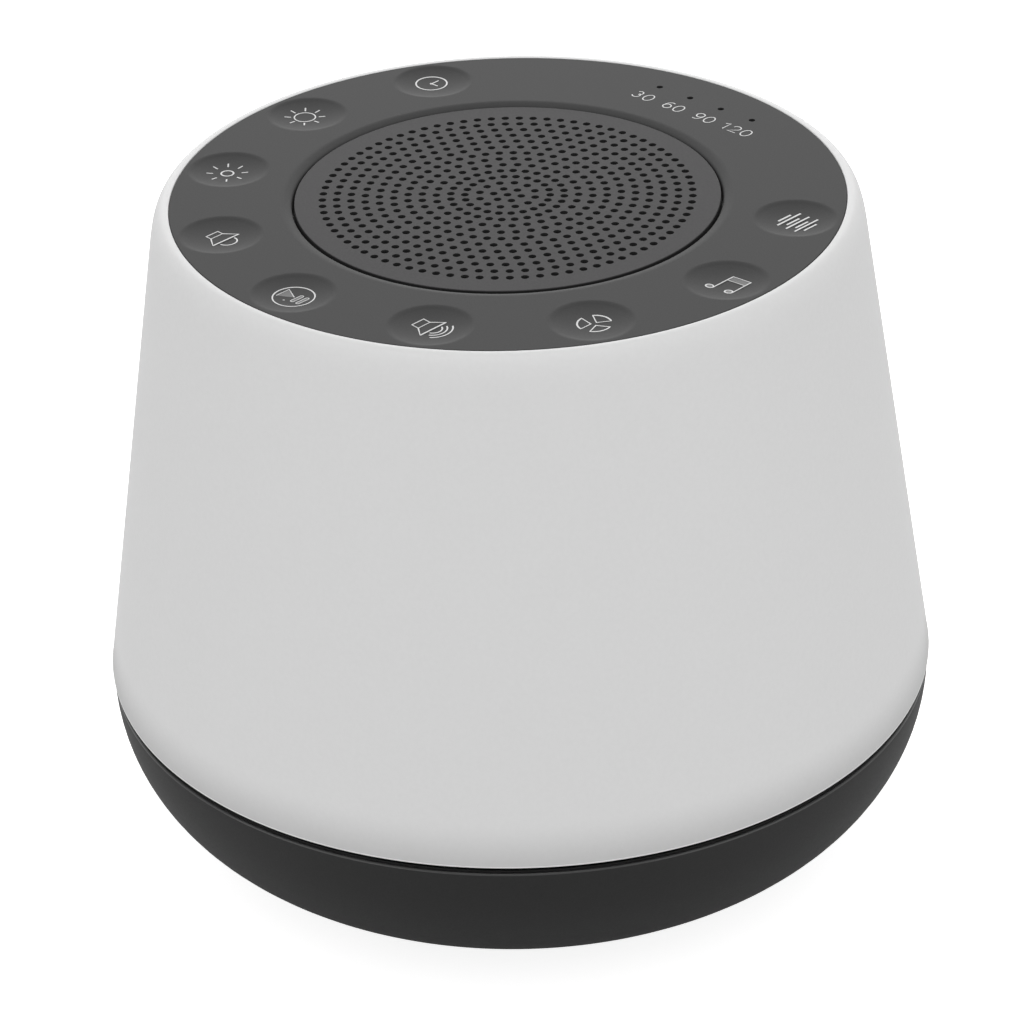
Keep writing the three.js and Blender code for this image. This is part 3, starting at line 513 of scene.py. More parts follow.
@dataclass(frozen=True)
class Rim:
    """A round edge of a flat plate: its outside or one of its holes.

    Attributes:
        radius: Radius of the wall below the edge.
        sides: Number of sides.
        x: Place of its centre.
        y: Place of its centre.
        edge: The top edge's section from the wall to the face, as distance from the wall and drop from
            the face.
        outside: Whether it is the plate's outside.
        index: Material index of its wall.
    """

    radius: float
    sides: int
    x: float = 0.0
    y: float = 0.0
    edge: tuple[Point, ...] = ((0.0, 0.0),)
    outside: bool = False
    index: int = 0

    def section(self, top: float) -> list[Point]:
        """Gives the edge's outline from the wall up to the flat top."""
        side = -1 if self.outside else 1
        return [(self.radius + side * across, top - drop) for across, drop in self.edge]


def round_edge(radius: float, steps: int) -> tuple[Point, ...]:
    """Gives the section of a round edge, as distance from the wall and drop from the face."""
    turns = [math.radians(90 * i / steps) for i in range(steps + 1)]
    return tuple((radius * (1 - math.cos(t)), radius * (1 - math.sin(t))) for t in turns)


def add_plate(mesh: bmesh.types.BMesh, rims: Sequence[Rim], bottom: float, top: float) -> None:
    """Adds a closed flat plate with round holes.

    Args:
        mesh: The mesh that takes it.
        rims: The outside first, then the holes.
        bottom: Height of the underside.
        top: Height of the top face.
    """
    sections = [rim.section(top) for rim in rims]
    for rim, section in zip(rims, sections):
        add_turned(mesh, [(rim.radius, bottom), section[0]], rim.sides, rim.x, rim.y, rim.index)
        add_turned(mesh, section, rim.sides, rim.x, rim.y)
    for height in (bottom, top):
        corners: list[Vector] = []
        faces: list[list[int]] = []
        for rim, section in zip(rims, sections):
            radius = rim.radius if height == bottom else section[-1][0]
            loop = circle(radius, rim.sides, rim.x, rim.y)
            faces.append(list(range(len(corners), len(corners) + len(loop))))
            corners += [Vector(point) for point in loop]
        flat, _, triangles, _, _, owners = delaunay_2d_cdt(corners, [], faces, INSIDE_ONLY, TOUCHING)
        verts = [mesh.verts.new((v.x, v.y, height)) for v in flat]
        for triangle, owner in zip(triangles, owners):
            # A triangle that only the outside's outline holds isn't in a hole.
            if list(owner) == [0]:
                mesh.faces.new([verts[i] for i in triangle]).smooth = False


def cut(piece: bpy.types.Object, cutter: bpy.types.Object) -> None:
    """Cuts one mesh object with another.

    Args:
        piece: The object that is cut.
        cutter: The object that is taken away from it, which is then deleted.
    """
    modifier = piece.modifiers.new("cut", "BOOLEAN")
    modifier.object = cutter
    modifier.solver = "EXACT"
    depsgraph = bpy.context.evaluated_depsgraph_get()
    result = bpy.data.meshes.new_from_object(piece.evaluated_get(depsgraph))
    piece.modifiers.clear()
    piece.data = result
    bpy.data.objects.remove(cutter)
    result.set_sharp_from_angle(angle=math.radians(SMOOTH_BELOW))


def rounded_box(width: float, height: float, radius: float, steps: int = 6) -> list[Point]:
    """Gives the outline of a rounded rectangle about its own centre.

    Args:
        width: Its width.
        height: Its height.
        radius: Radius of its corners.
        steps: Number of chords in a corner.

    Returns:
        The outline's points.
    """
    x, y = width / 2 - radius, height / 2 - radius
    corners = ((x, y, 0), (-x, y, 90), (-x, -y, 180), (x, -y, 270))
    return [p for cx, cy, turn in corners for p in arc(cx, cy, radius, turn, turn + 90, steps)]


def add_prism(
    mesh: bmesh.types.BMesh, outline: Sequence[Point], near: float, far: float, height: float
) -> None:
    """Adds a closed prism along Y.

    Args:
        mesh: The mesh that takes it.
        outline: Its section as X and Z about its own axis.
        near: Lowest Y.
        far: Highest Y.
        height: Height of its axis.
    """
    ends = [[mesh.verts.new((x, y, height + z)) for x, z in outline] for y in (near, far)]
    for i in range(len(outline)):
        j = (i + 1) % len(outline)
        mesh.faces.new((ends[0][i], ends[0][j], ends[1][j], ends[1][i])).smooth = True
    for end in ends:
        mesh.faces.new(end)


def cut_prism(
    piece: bpy.types.Object, finish: Finish, outline: Sequence[Point], near: float, far: float, height: float
) -> None:
    """Cuts a hole along Y.

    Args:
        piece: The object that is cut.
        finish: The finish of the hole's walls.
        outline: Its section as X and Z about its own axis.
        near: Lowest Y.
        far: Highest Y.
        height: Height of its axis.
    """
    mesh = bmesh.new()
    add_prism(mesh, outline, near, far, height)
    cut(piece, to_object("cutter", mesh, finish))


# Sub-assemblies


class Piece:
    """Shared steps that attach a finished object to its body."""

    @staticmethod
    def place(piece: bpy.types.Object, body: str, slot: Optional[str], *nodes: str) -> None:
        """Lets a piece ride on a body and stand for CAD nodes.

        Args:
            piece: The finished object.
            body: The body that carries it.
            slot: The record's material slot, if the piece has one. It is not used.
            *nodes: The CAD nodes that it replaces.
        """
        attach(piece, body)
        if nodes:
            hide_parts(*nodes)
        LOG.info("%s rides on %s", piece.name, body)


@dataclass
class LampShell(Piece):
    """White cone of the lamp, with its rounded shoulder."""

    top_radius: float = 44.74
    slope: float = 0.1534
    total_height: float = 90.0
    shoulder_start: float = 85.6
    shoulder_drop: float = 1.7
    shoulder_reach: float = 1.15
    lip_radius: float = 42.8
    lip_land: float = 0.5
    lip_depth: float = 5.2
    lip_round: float = 0.12
    lip_slant: float = 2.0
    wall: float = 2.2
    wall_rings: tuple[float, ...] = (27.15, 55.0)
    foot: float = 24.65
    foot_round: float = 0.12
    foot_edge: float = 0.25
    sides: int = 256

    def radius_at(self, height: float) -> float:
        """Gives the outside radius of the cone at a height."""
        return self.top_radius + (self.total_height - height) * self.slope

    def shoulder(self) -> list[Point]:
        """Gives the rounded shoulder, from the cone to the flat land of the lip.

        Returns:
            Points as radius and height.
        """
        handle = self.total_height - self.shoulder_drop
        end = (self.lip_radius + self.lip_land, self.total_height)
        return bezier(
            (self.radius_at(self.shoulder_start), self.shoulder_start),
            (self.radius_at(handle), handle),
            (end[0] + self.shoulder_reach, self.total_height),
            end,
            steps=16,
        )

    def build(self) -> None:
        """Builds the shell and attaches it to its body."""
        foot_radius, lip_foot = self.radius_at(self.foot), self.total_height - self.lip_depth
        lip_centre = (self.lip_radius + self.lip_round, self.total_height - self.lip_round)
        edge_top = (self.radius_at(self.foot + self.foot_edge), self.foot + self.foot_edge)
        edge = [
            (foot_radius - self.wall, self.foot),
            *arc(foot_radius - self.foot_round, self.foot + self.foot_round, self.foot_round, -90, 0, 4),
            edge_top,
        ]
        outline = [
            edge_top,
            *[(self.radius_at(height), height) for height in self.wall_rings],
            *self.shoulder(),
            *arc(*lip_centre, self.lip_round, 90, 180, 3),
            (self.lip_radius, lip_foot),
            (self.radius_at(lip_foot) - self.wall, lip_foot - self.lip_slant),
            (foot_radius - self.wall, self.foot),
        ]
        mesh = bmesh.new()
        add_turned(mesh, outline, self.sides)
        add_turned(mesh, edge, self.sides, index=1)
        # The wall carries the painted shade; the foot's edge keeps the plain white, so it shows as a light
        # line.
        self.place(to_object("lamp_shell", mesh, OPAL_WALL_PAINTED_SHADE, OPAL_SHELL), HOUSING, "shell", "diffuser_shell")


@dataclass
class PowerSocket(Piece):
    """Socket for the power lead at the back: a rolled shell, a tongue and its contacts."""

    width: float = 9.0
    height: float = 3.3
    axis_height: float = 15.55
    mouth: float = 51.77
    depth: float = 7.4
    cavity: float = 6.2
    wall: float = 0.35
    corner_room: float = 0.01
    overrun: float = 1.0
    tongue: tuple[float, float] = (6.7, 0.7)
    tongue_corner: float = 0.12
    tongue_ends: tuple[float, float] = (6.3, 1.0)
    contacts: int = 12
    contact: tuple[float, float] = (0.26, 0.06)
    contact_corner: float = 0.01
    contact_ends: tuple[float, float] = (5.6, 1.5)
    contact_pitch: float = 0.5
    contact_level: float = 0.36

    def outline(self, room: float) -> list[Point]:
        """Gives the socket's outline, larger all round by some room."""
        width, height = self.width + 2 * room, self.height + 2 * room
        return rounded_box(width, height, height / 2 - self.corner_room)

    def build(self) -> None:
        """Builds the shell, the tongue and the contacts."""
        mesh = bmesh.new()
        add_prism(mesh, self.outline(0.0), self.mouth - self.depth, self.mouth, self.axis_height)
        shell = to_object("socket_shell", mesh, NICKEL_PLATE)
        hollow = self.outline(-self.wall)
        near, far = self.mouth - self.cavity, self.mouth + self.overrun
        cut_prism(shell, NICKEL_PLATE, hollow, near, far, self.axis_height)
        self.place(shell, HOUSING, "socket", "usb_socket")
        mesh = bmesh.new()
        near, far = (self.mouth - end for end in self.tongue_ends)
        add_prism(mesh, rounded_box(*self.tongue, self.tongue_corner, 2), near, far, self.axis_height)
        self.place(to_object("socket_tongue", mesh, SOCKET_TONGUE), HOUSING, "socket")
        mesh = bmesh.new()
        near, far = (self.mouth - end for end in self.contact_ends)
        outline = rounded_box(*self.contact, self.contact_corner, 1)
        for index in range(self.contacts):
            across = (index - (self.contacts - 1) / 2) * self.contact_pitch
            for up in (-self.contact_level, self.contact_level):
                add_prism(mesh, [(x + across, z + up) for x, z in outline], near, far, self.axis_height)
        self.place(to_object("socket_contacts", mesh, GOLD_CONTACT), HOUSING, "socket")


@dataclass
class Base(Piece):
    """Dark bowl with its floor, spigot, feet and the power socket at the back."""

    rim_radius: float = 54.6
    rim_height: float = 23.68
    rim_round: float = 0.25
    collar_radius: float = 54.1
    collar_top: float = 23.88
    groove_radius: float = 53.9
    groove_floor: float = 22.6
    flat_radius: float = 29.9
    underside: float = 1.0
    power: float = 2.1
    wall: float = 2.2
    spigot_radius: float = 52.0
    spigot_bore: float = 49.9
    spigot_top: float = 28.5
    spigot_taper: float = 0.4
    feet: int = 4
    foot_radius: float = 5.5
    foot_circle: float = 22.0
    foot_top: float = 1.6
    foot_edge: float = 0.4
    recess: tuple[float, float] = (14.0, 8.0)
    recess_corner: float = 1.6
    recess_floor: float = 51.97
    socket: PowerSocket = field(default_factory=PowerSocket)
    socket_room: float = 0.3
    socket_hole: float = 4.0
    overrun: float = 1.0
    sides: int = 256
    foot_sides: int = 48

    def side(self, inset: float, steps: int) -> list[Point]:
        """Gives the bowl's side from its flat floor up to its rim.

        Args:
            inset: How far it lies inside the outer face.
            steps: Number of chords.

        Returns:
            Points as radius and height.
        """
        low = self.underside + inset
        points = []
        for i in range(steps + 1):
            share = math.cos(math.pi / 2 * i / steps)
            reach = (1 - share**self.power) ** (1 / self.power)
            radius = self.flat_radius + (self.rim_radius - inset - self.flat_radius) * reach
            points.append((radius, self.rim_height - (self.rim_height - low) * share))
        return points

    def build_bowl(self) -> None:
        """Builds the bowl with the recess and hole for the socket."""
        centre = (self.rim_radius - self.rim_round, self.rim_height - self.rim_round)
        rim = [*arc(*centre, self.rim_round, 0, 90, 5), (self.collar_radius, self.rim_height)]
        collar = [rim[-1], (self.collar_radius, self.collar_top), (self.groove_radius, self.collar_top)]
        gap = [
            collar[-1],
            (self.groove_radius, self.groove_floor),
            (self.spigot_radius, self.groove_floor),
            (self.spigot_radius - self.spigot_taper, self.spigot_top),
        ]
        ledge = self.rim_height - self.wall
        inside = [
            gap[-1],
            (self.spigot_bore, self.spigot_top),
            (self.spigot_bore, ledge),
            *[point for point in self.side(self.wall, 14)[::-1] if point[1] < ledge],
            (0.0, self.underside + self.wall),
        ]
        outside = [(0.0, self.underside), *self.side(0.0, 28)[:-1], rim[0]]
        mesh = bmesh.new()
        # The rim takes the painted highlight, and the groove at the seam is painted black as shade.
        for outline, index in ((outside, 0), (rim, 1), (collar, 0), (gap, 2), (inside, 0)):
            add_turned(mesh, outline, self.sides, index=index)
        bowl = to_object("base_bowl", mesh, DARK_ABS, SMOOTH_ABS_PAINTED_HIGHLIGHT, PAINTED_SHADE_BLACK)
        floor, height = self.recess_floor, self.socket.axis_height
        recess, hole = rounded_box(*self.recess, self.recess_corner), self.socket.outline(self.socket_room)
        cut_prism(bowl, DARK_ABS, recess, floor, self.rim_radius + self.overrun, height)
        cut_prism(bowl, DARK_ABS, hole, floor - self.socket_hole, floor + self.overrun, height)
        self.place(bowl, HOUSING, "base", "base_shell")

    def build_feet(self) -> None:
        """Builds the four rubber feet."""
        outline = [
            (0.0, 0.0),
            *arc(self.foot_radius - self.foot_edge, self.foot_edge, self.foot_edge, -90, 0, 4),
            (self.foot_radius, self.foot_top),
            (0.0, self.foot_top),
        ]
        for index in range(self.feet):
            turn = math.radians((index + 0.5) * 360 / self.feet)
            x, y = self.foot_circle * math.cos(turn), self.foot_circle * math.sin(turn)
            mesh = bmesh.new()
            add_turned(mesh, outline, self.foot_sides, x, y)
            foot = to_object(f"rubber_foot_{index + 1}", mesh, FOOT_RUBBER)
            self.place(foot, HOUSING, "foot", f"foot_{index + 1}")

    def build(self) -> None:
        """Builds the whole base."""
        self.build_bowl()
        self.build_feet()
        self.socket.build()


@dataclass
class Grille(Piece):
    """Perforated disc over the loudspeaker: a centre hole and rings of holes at an even pitch."""

    radius: float = 26.95
    top: float = 89.8
    thickness: float = 1.6
    edge_round: float = 0.1
    ring_pitch: float = 1.8
    hole_counts: tuple[int, ...] = (1, 6, 12, 22, 28, 30, 36, 44, 48, 54, 60, 66, 72, 80)
    hole_radius: float = 0.5
    hole_edge: float = 0.02
    skirt_radius: float = 27.15
    skirt_bore: float = 23.95
    skirt_foot: float = 87.6
    cloth_top: float = 87.9
    cloth_rim_bore: float = 22.85
    cloth_rim_height: float = 0.05
    sides: int = 256
    hole_sides: int = 16

    def build(self) -> None:
        """Builds the disc with its skirt, and the round rim that the cloth is pressed into."""
        rims = [Rim(self.radius, self.sides, edge=round_edge(self.edge_round, 6), outside=True, index=1)]
        hole_edge = round_edge(self.hole_edge, 2)
        for index, count in enumerate(self.hole_counts):
            for step in range(count):
                # Each ring has a hole on the axis to the back.
                turn = math.pi / 2 + 2 * math.pi * step / count
                x, y = index * self.ring_pitch * math.cos(turn), index * self.ring_pitch * math.sin(turn)
                rims.append(Rim(self.hole_radius, self.hole_sides, x, y, hole_edge, index=1))
        underside = self.top - self.thickness
        mesh = bmesh.new()
        add_plate(mesh, rims, underside, self.top)
        # The disc's outside wall and the walls of its holes take the black painted shade, and so does the
        # skirt.
        disc = to_object("grille_disc", mesh, GRILLE_ABS, PAINTED_SHADE_BLACK)
        self.place(disc, HOUSING, "grille", "speaker_grille")
        mesh = bmesh.new()
        add_ring(mesh, self.skirt_bore, self.skirt_radius, self.skirt_foot, underside)
        self.place(to_object("grille_skirt", mesh, PAINTED_SHADE_BLACK), HOUSING, "grille")
        mesh = bmesh.new()
        rim_top = self.cloth_top + self.cloth_rim_height
        add_ring(mesh, self.cloth_rim_bore, self.skirt_bore, self.cloth_top, rim_top)
        self.place(to_object("grille_cloth_rim", mesh, INNER_FINISHES["cloth"]), HOUSING, "cloth")


@dataclass
class Dish:
    """Concave key top: a shallow bowl with a soft edge that meets the mat's flat face."""

    depth: float = 0.62
    bowl_radius: float = 5.3
    power: float = 2.4
    soft_start: float = 4.4
    soft_end: float = 5.4
    edge: float = 5.45

    def drop(self, radius: float) -> float:
        """Gives how far the dish lies below the flat face.

        Args:
            radius: Distance from the dish's centre.

        Returns:
            The depth there. Past the bowl it runs out along a cubic that meets the face flat.
        """
        if radius >= self.soft_end:
            return 0.0
        if radius <= self.soft_start:
            return self.depth * (1 - (radius / self.bowl_radius) ** self.power)
        span = self.soft_end - self.soft_start
        share, reach = (radius - self.soft_start) / span, self.soft_start / self.bowl_radius
        start = self.depth * (1 - reach**self.power)
        slope = -self.power * self.depth / self.bowl_radius * reach ** (self.power - 1)
        level = start * (2 * share**3 - 3 * share**2 + 1)
        return level + slope * span * (share**3 - 2 * share**2 + share)

    def radii(self) -> list[float]:
        """Gives the radii at which the dish has rings.

        Returns:
            The radii from its centre to its edge.
        """
        bowl = [self.soft_start * i / 10 for i in range(11)]
        soft = [self.soft_start + (self.soft_end - self.soft_start) * i / 8 for i in range(1, 9)]
        return [*bowl, *soft, self.edge]


# Width of most printed lines, in millimetres.
SIGN_LINE = 0.198


@dataclass(frozen=True)
class Stroke:
    """A printed line of even width.

    Attributes:
        points: Its route in millimetres.
        width: Its width.
        closed: Whether it ends where it starts.
    """

    points: tuple[Point, ...]
    width: float = SIGN_LINE
    closed: bool = False


@dataclass(frozen=True)
class Pictogram:
    """A printed sign: its white lines and its grey areas, about the key's own centre."""

    strokes: tuple[Stroke, ...] = ()
    grey: tuple[tuple[Point, ...], ...] = ()


def line(*points: Point, width: float = SIGN_LINE, closed: bool = False) -> Stroke:
    """Gives a stroke through some points."""
    return Stroke(tuple(points), width, closed)


def sun(x: float, y: float, radius: float, ring: float, rays: tuple[float, float]) -> Pictogram:
    """Gives a sun with eight rays.

    Args:
        x: Centre.
        y: Centre.
        radius: Radius of its disc's line.
        ring: Width of that line.
        rays: Where the rays start and end, from the centre.

    Returns:
        The pictogram.
    """
    strokes = [line(*circle(radius, 32, x, y), width=ring, closed=True)]
    for index in range(8):
        turn = math.radians(45 * index)
        ends = [(x + r * math.cos(turn), y + r * math.sin(turn)) for r in rays]
        strokes.append(line(*ends))
    return Pictogram(tuple(strokes))


def horn(left: float, neck: float, mouth: float, middle: float, waves: Iterable[Sequence[Point]]) -> Pictogram:
    """Gives a loudspeaker sign with its sound waves.

    Args:
        left: Left side of the box.
        neck: Right side of the box.
        mouth: Place of the horn's mouth.
        middle: Height of the sign's middle.
        waves: The waves' routes.

    Returns:
        The pictogram.
    """
    half_box, half_mouth = 0.98, 2.15
    low, high, upper, lower = middle - half_box, middle + half_box, middle + half_mouth, middle - half_mouth
    box = line((left, low), (neck, low), (neck, high), (left, high), closed=True)
    sides = line((neck, high), (mouth, upper), (mouth, lower), (neck, low))
    bar = line((mouth, upper), (mouth, lower), width=0.234)
    return Pictogram((box, sides, bar, *(line(*wave) for wave in waves)))


def fan() -> Pictogram:
    """Gives three fan blades round a hub.

    Returns:
        The pictogram.
    """
    hub, root_radius, tip_radius = (0.05, 0.37), 0.42, 2.07
    blades = []
    for start, end in ((59, 139), (181, 262), (298, 376)):
        middle = math.radians((start + end) / 2)
        root = (hub[0] + root_radius * math.cos(middle), hub[1] + root_radius * math.sin(middle))
        blades.append(line(root, *arc(*hub, tip_radius, start, end, 10), width=0.225, closed=True))
    return Pictogram(tuple(blades))


def play_and_pause() -> Pictogram:
    """Gives a ringed play triangle and pause bars.

    Returns:
        The pictogram.
    """
    x, y = 0.1, -0.09
    triangle = ((x - 1.93, y + 1.07), (x - 1.93, y - 1.09), (x, y + 0.09))
    strokes = [
        line(*circle(2.58, 48, x, y), width=0.18, closed=True),
        line(triangle[1], triangle[0], triangle[2], width=0.135),
        line((x - 0.46, y - 1.22), (x - 0.34, y - 1.32), width=0.234),
    ]
    pauses = []
    for place in (0.545, 1.5):
        pause = tuple((x + place + px, y + 0.04 + py) for px, py in rounded_box(0.5, 1.98, 0.24, 5))
        pauses.append(pause)
        strokes.append(line(*pause, width=0.108, closed=True))
    return Pictogram(tuple(strokes), grey=(triangle, *pauses))


def note() -> Pictogram:
    """Gives two beamed notes.

    Returns:
        The pictogram.
    """
    left, right = -0.72, 2.05
    beam = ((left, 0.93), (right, 1.06), (right, 2.08), (left, 1.99))
    heads = [((-1.24, -1.74), (0.5, 0.44)), ((1.5, -1.38), (0.52, 0.44))]
    ovals = tuple(tuple(oval(centre, size, 24)) for centre, size in heads)
    strokes = (
        line((left, -1.7), (left, 1.99), width=0.18),
        line((right, -1.35), (right, 2.08), width=0.18),
        line(*beam, width=0.153, closed=True),
        *(line(*head, closed=True) for head in ovals),
    )
    return Pictogram(strokes, grey=(beam, *ovals))


def bars() -> Pictogram:
    """Gives seven upright bars, short and long in turn.

    Returns:
        The pictogram.
    """
    strokes = []
    for index in range(7):
        x = 0.36 + (index - 3) * 0.7
        half, middle = (1.18, -0.1) if index % 2 == 0 else (2.21, -0.04)
        strokes.append(line((x, middle - half), (x, middle + half), width=0.279))
    return Pictogram(tuple(strokes))


def clock() -> Pictogram:
    """Gives a clock face with two hands.

    Returns:
        The pictogram.
    """
    x, y = -0.5, 0.19
    return Pictogram(
        (
            line(*circle(2.08, 40, x, y), width=0.216, closed=True),
            line((x - 0.01, y - 0.2), (x - 0.01, y + 1.36)),
            line((x - 0.3, y + 0.05), (x + 1.1, y + 0.05)),
        )
    )


# The three waves of the loud sign.
LOUD_WAVES = [arc(0.1, 0.32, radius, -turn, turn) for radius, turn in ((1.1, 67), (1.7, 62), (2.37, 55))]
# The keys' signs, in the order of the keys round the panel.
PICTOGRAMS: dict[str, Pictogram] = {
    "timer": clock(),
    "light_up": sun(-0.47, -0.04, 1.4, 0.18, (1.84, 2.7)),
    "light_down": sun(-0.2, -0.11, 0.8, 0.22, (1.84, 2.68)),
    "volume_down": horn(-1.84, -0.97, 0.72, 0.09, [arc(1.06, 0.07, 1.2, 95, -88)]),
    "play": play_and_pause(),
    "volume_up": horn(-2.4, -1.33, 0.19, 0.23, LOUD_WAVES),
    "fan": fan(),
    "music": note(),
    "noise": bars(),
}

# Routes of the digits, about their own centre. The keypad sets the width of their lines.
DIGITS: dict[str, tuple[Stroke, ...]] = {
    "0": (line(*oval((0.0, 0.0), (0.65, 0.92), 28), closed=True),),
    "1": (line((-0.62, 0.6), (0.0, 0.9), (0.0, -0.9)),),
    "2": (line(*arc(0.0, 0.32, 0.58, 165, -25, 10), (-0.66, -0.9), (0.7, -0.9)),),
    "3": (line(*arc(-0.04, 0.42, 0.48, 150, -80, 10)), line(*arc(-0.04, -0.36, 0.55, 82, -152, 12))),
    "6": (
        line(*circle(0.57, 24, 0.0, -0.34), closed=True),
        line(*bezier((0.45, 0.82), (-0.1, 1.06), (-0.59, 0.7), (-0.57, -0.33), 10)),
    ),
    "9": (
        line(*circle(0.57, 24, 0.0, 0.34), closed=True),
        line(*bezier((-0.45, -0.82), (0.1, -1.06), (0.59, -0.7), (0.57, 0.33), 10)),
    ),
}


@dataclass
class Keypad(Piece):
    """Soft mat with nine dished keys, their pictograms, and the timer lights with their numerals."""

    top: float = 90.0
    underside: float = 87.6
    radius: float = 42.75
    edge_round: float = 0.1
    sides: int = 256
    grille_hole: float = 27.25
    # Section of the soft lip round the grille, as distance from its wall and drop from the face.
    lip: tuple[Point, ...] = (
        (0.0, 0.75), (0.04, 0.52), (0.12, 0.4), (0.24, 0.315), (0.38, 0.25), (0.55, 0.19), (0.75, 0.125),
        (0.95, 0.068), (1.12, 0.032), (1.28, 0.01), (1.42, 0.002), (1.5, 0.0),
    )
    key_circle: float = 36.95
    # Angle of the first key and step to the next one, in degrees.
    first_key: float = 150.0
    key_step: float = 30.0
    key_sides: int = 64
    key_skin: float = 1.1
    plunger: tuple[Point, ...] = ((4.8, 88.1), (2.0, 85.4))
    print_height: float = 0.012
    # How thick the grey areas are, as a share of the height of the white lines' middle.
    tint_share: float = 1.2
    light_row: float = 36.99
    light_places: tuple[float, ...] = (-7.695, -2.265, 3.165, 8.595)
    light_radius: float = 0.43
    light_edge: float = 0.02
    light_sides: int = 24
    numeral_row: float = 33.4
    numeral_line: float = 0.165
    numerals: tuple[tuple[str, float], ...] = (
        ("3", -8.28), ("0", -6.42), ("6", -2.84), ("0", -1.05), ("9", 2.55), ("0", 4.34),
        ("1", 7.36), ("2", 8.85), ("0", 10.72),
    )
    dish: Dish = field(default_factory=Dish)

    def centres(self) -> list[Point]:
        """Gives the keys' centres, in the order of their signs."""
        turns = [math.radians(self.first_key + self.key_step * index) for index in range(len(PICTOGRAMS))]
        return [(self.key_circle * math.cos(turn), self.key_circle * math.sin(turn)) for turn in turns]

    def build_mat(self) -> None:
        """Builds the mat round the keys."""
        rims = [
            Rim(self.radius, self.sides, edge=round_edge(self.edge_round, 6), outside=True),
            Rim(self.grille_hole, self.sides, edge=self.lip),
            *[Rim(self.dish.edge, self.key_sides, x, y) for x, y in self.centres()],
        ]
        edge = round_edge(self.light_edge, 2)
        for x in self.light_places:
            rims.append(Rim(self.light_radius, self.light_sides, x, self.light_row, edge, index=1))
        mesh = bmesh.new()
        add_plate(mesh, rims, self.underside, self.top)
        # The walls of the timer lights' holes take the black painted shade.
        mat = to_object("keypad_mat", mesh, SOFT_SILICONE, PAINTED_SHADE_BLACK)
        self.place(mat, HOUSING, "panel", "keypad_panel")

    def build_key(self, name: str, centre: Point) -> None:
        """Builds one dished key with its plunger.

        Args:
            name: The key's name.
            centre: Where it stands.
        """
        height = self.top - self.key_skin
        outline = [(r, self.top - self.dish.drop(r)) for r in self.dish.radii()]
        outline.append((self.dish.edge, height))
        for radius, foot in self.plunger:
            outline += [(radius, height), (radius, foot)]
            height = foot
        outline.append((0.0, height))
        mesh = bmesh.new()
        add_turned(mesh, outline, self.key_sides, *centre)
        key = to_object(f"{name}_key_dish", mesh, SOFT_SILICONE)
        self.bend(key, name, centre)
        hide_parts(f"{name}_key")

    def build_sign(self, name: str, centre: Point) -> None:
        """Prints a key's sign into its dish, in white lines and grey areas.

        Args:
            name: The key's name.
            centre: Where the key stands.
        """
        sign = PICTOGRAMS[name]
        prints = (("sign", WHITE_INK, sign.strokes, ()), ("tint", GREY_INK, (), sign.grey))
        for kind, finish, strokes, areas in prints:
            if not strokes and not areas:
                continue
            mesh = self.printed(strokes, areas)
            for vert in mesh.verts:
                vert.co.z += self.top - self.dish.drop(math.hypot(vert.co.x, vert.co.y))
                vert.co.x += centre[0]
                vert.co.y += centre[1]
            self.bend(to_object(f"{name}_{kind}", mesh, finish), name, centre)

    def bend(self, piece: bpy.types.Object, name: str, centre: Point) -> None:
        """Bakes a piece's transform into its mesh and logs the key that it belongs to.

        Args:
            piece: The piece.
            name: The key's name.
            centre: Where the key stands.
        """
        x, y = centre[0] * MM, centre[1] * MM
        end = (x, y, (self.top - self.dish.drop(self.dish.soft_start)) * MM)
        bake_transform(piece)
        LOG.info("%s bends with %s", piece.name, name)

    def printed(self, strokes: Iterable[Stroke], areas: Iterable[Sequence[Point]]) -> bmesh.types.BMesh:
        """Makes a thin flat print of lines and areas.

        Args:
            strokes: The lines.
            areas: The outlines of the areas.

        Returns:
            A mesh in millimetres that lies at height zero.
        """
        mesh = bmesh.new()
        for stroke in strokes:
            self.add_stroke(mesh, stroke)
        for area in areas:
            self.add_area(mesh, area)
        return mesh

    def add_stroke(self, mesh: bmesh.types.BMesh, stroke: Stroke) -> None:
        """Adds a flattened round bar along a line.

        Args:
            mesh: The mesh that takes it.
            stroke: The line.
        """
        curve = bpy.data.curves.new("stroke", "CURVE")
        curve.dimensions = "3D"
        curve.bevel_depth = stroke.width / 2
        curve.bevel_resolution = 2
        curve.use_fill_caps = True
        spline = curve.splines.new("POLY")
        spline.points.add(len(stroke.points) - 1)
        for point, (x, y) in zip(spline.points, stroke.points):
            point.co = (x, y, 0, 1)
        spline.use_cyclic_u = stroke.closed
        holder = bpy.data.objects.new("stroke", curve)
        bpy.context.scene.collection.objects.link(holder)
        flat = bpy.data.meshes.new_from_object(holder.evaluated_get(bpy.context.evaluated_depsgraph_get()))
        first = len(mesh.verts)
        mesh.from_mesh(flat)
        mesh.verts.ensure_lookup_table()
        for vert in mesh.verts[first:]:
            vert.co.z = self.print_height * (1 + vert.co.z * 2 / stroke.width)
        bpy.data.objects.remove(holder)
        bpy.data.curves.remove(curve)
        bpy.data.meshes.remove(flat)

    def add_area(self, mesh: bmesh.types.BMesh, outline: Sequence[Point]) -> None:
        """Adds a thin flat area, cut finely enough to follow the dish.

        Args:
            mesh: The mesh that takes it.
            outline: The area's outline.
        """
        part = bmesh.new()
        part.faces.new([part.verts.new((x, y, 0)) for x, y in outline])
        bmesh.ops.triangulate(part, faces=part.faces)
        bmesh.ops.subdivide_edges(part, edges=part.edges, cuts=3, use_grid_fill=True)
        bmesh.ops.recalc_face_normals(part, faces=part.faces)
        solid = bmesh.ops.extrude_face_region(part, geom=part.faces[:])
        for item in solid["geom"]:
            if isinstance(item, bmesh.types.BMVert):
                item.co.z = self.tint_share * self.print_height
        append_mesh(mesh, part)

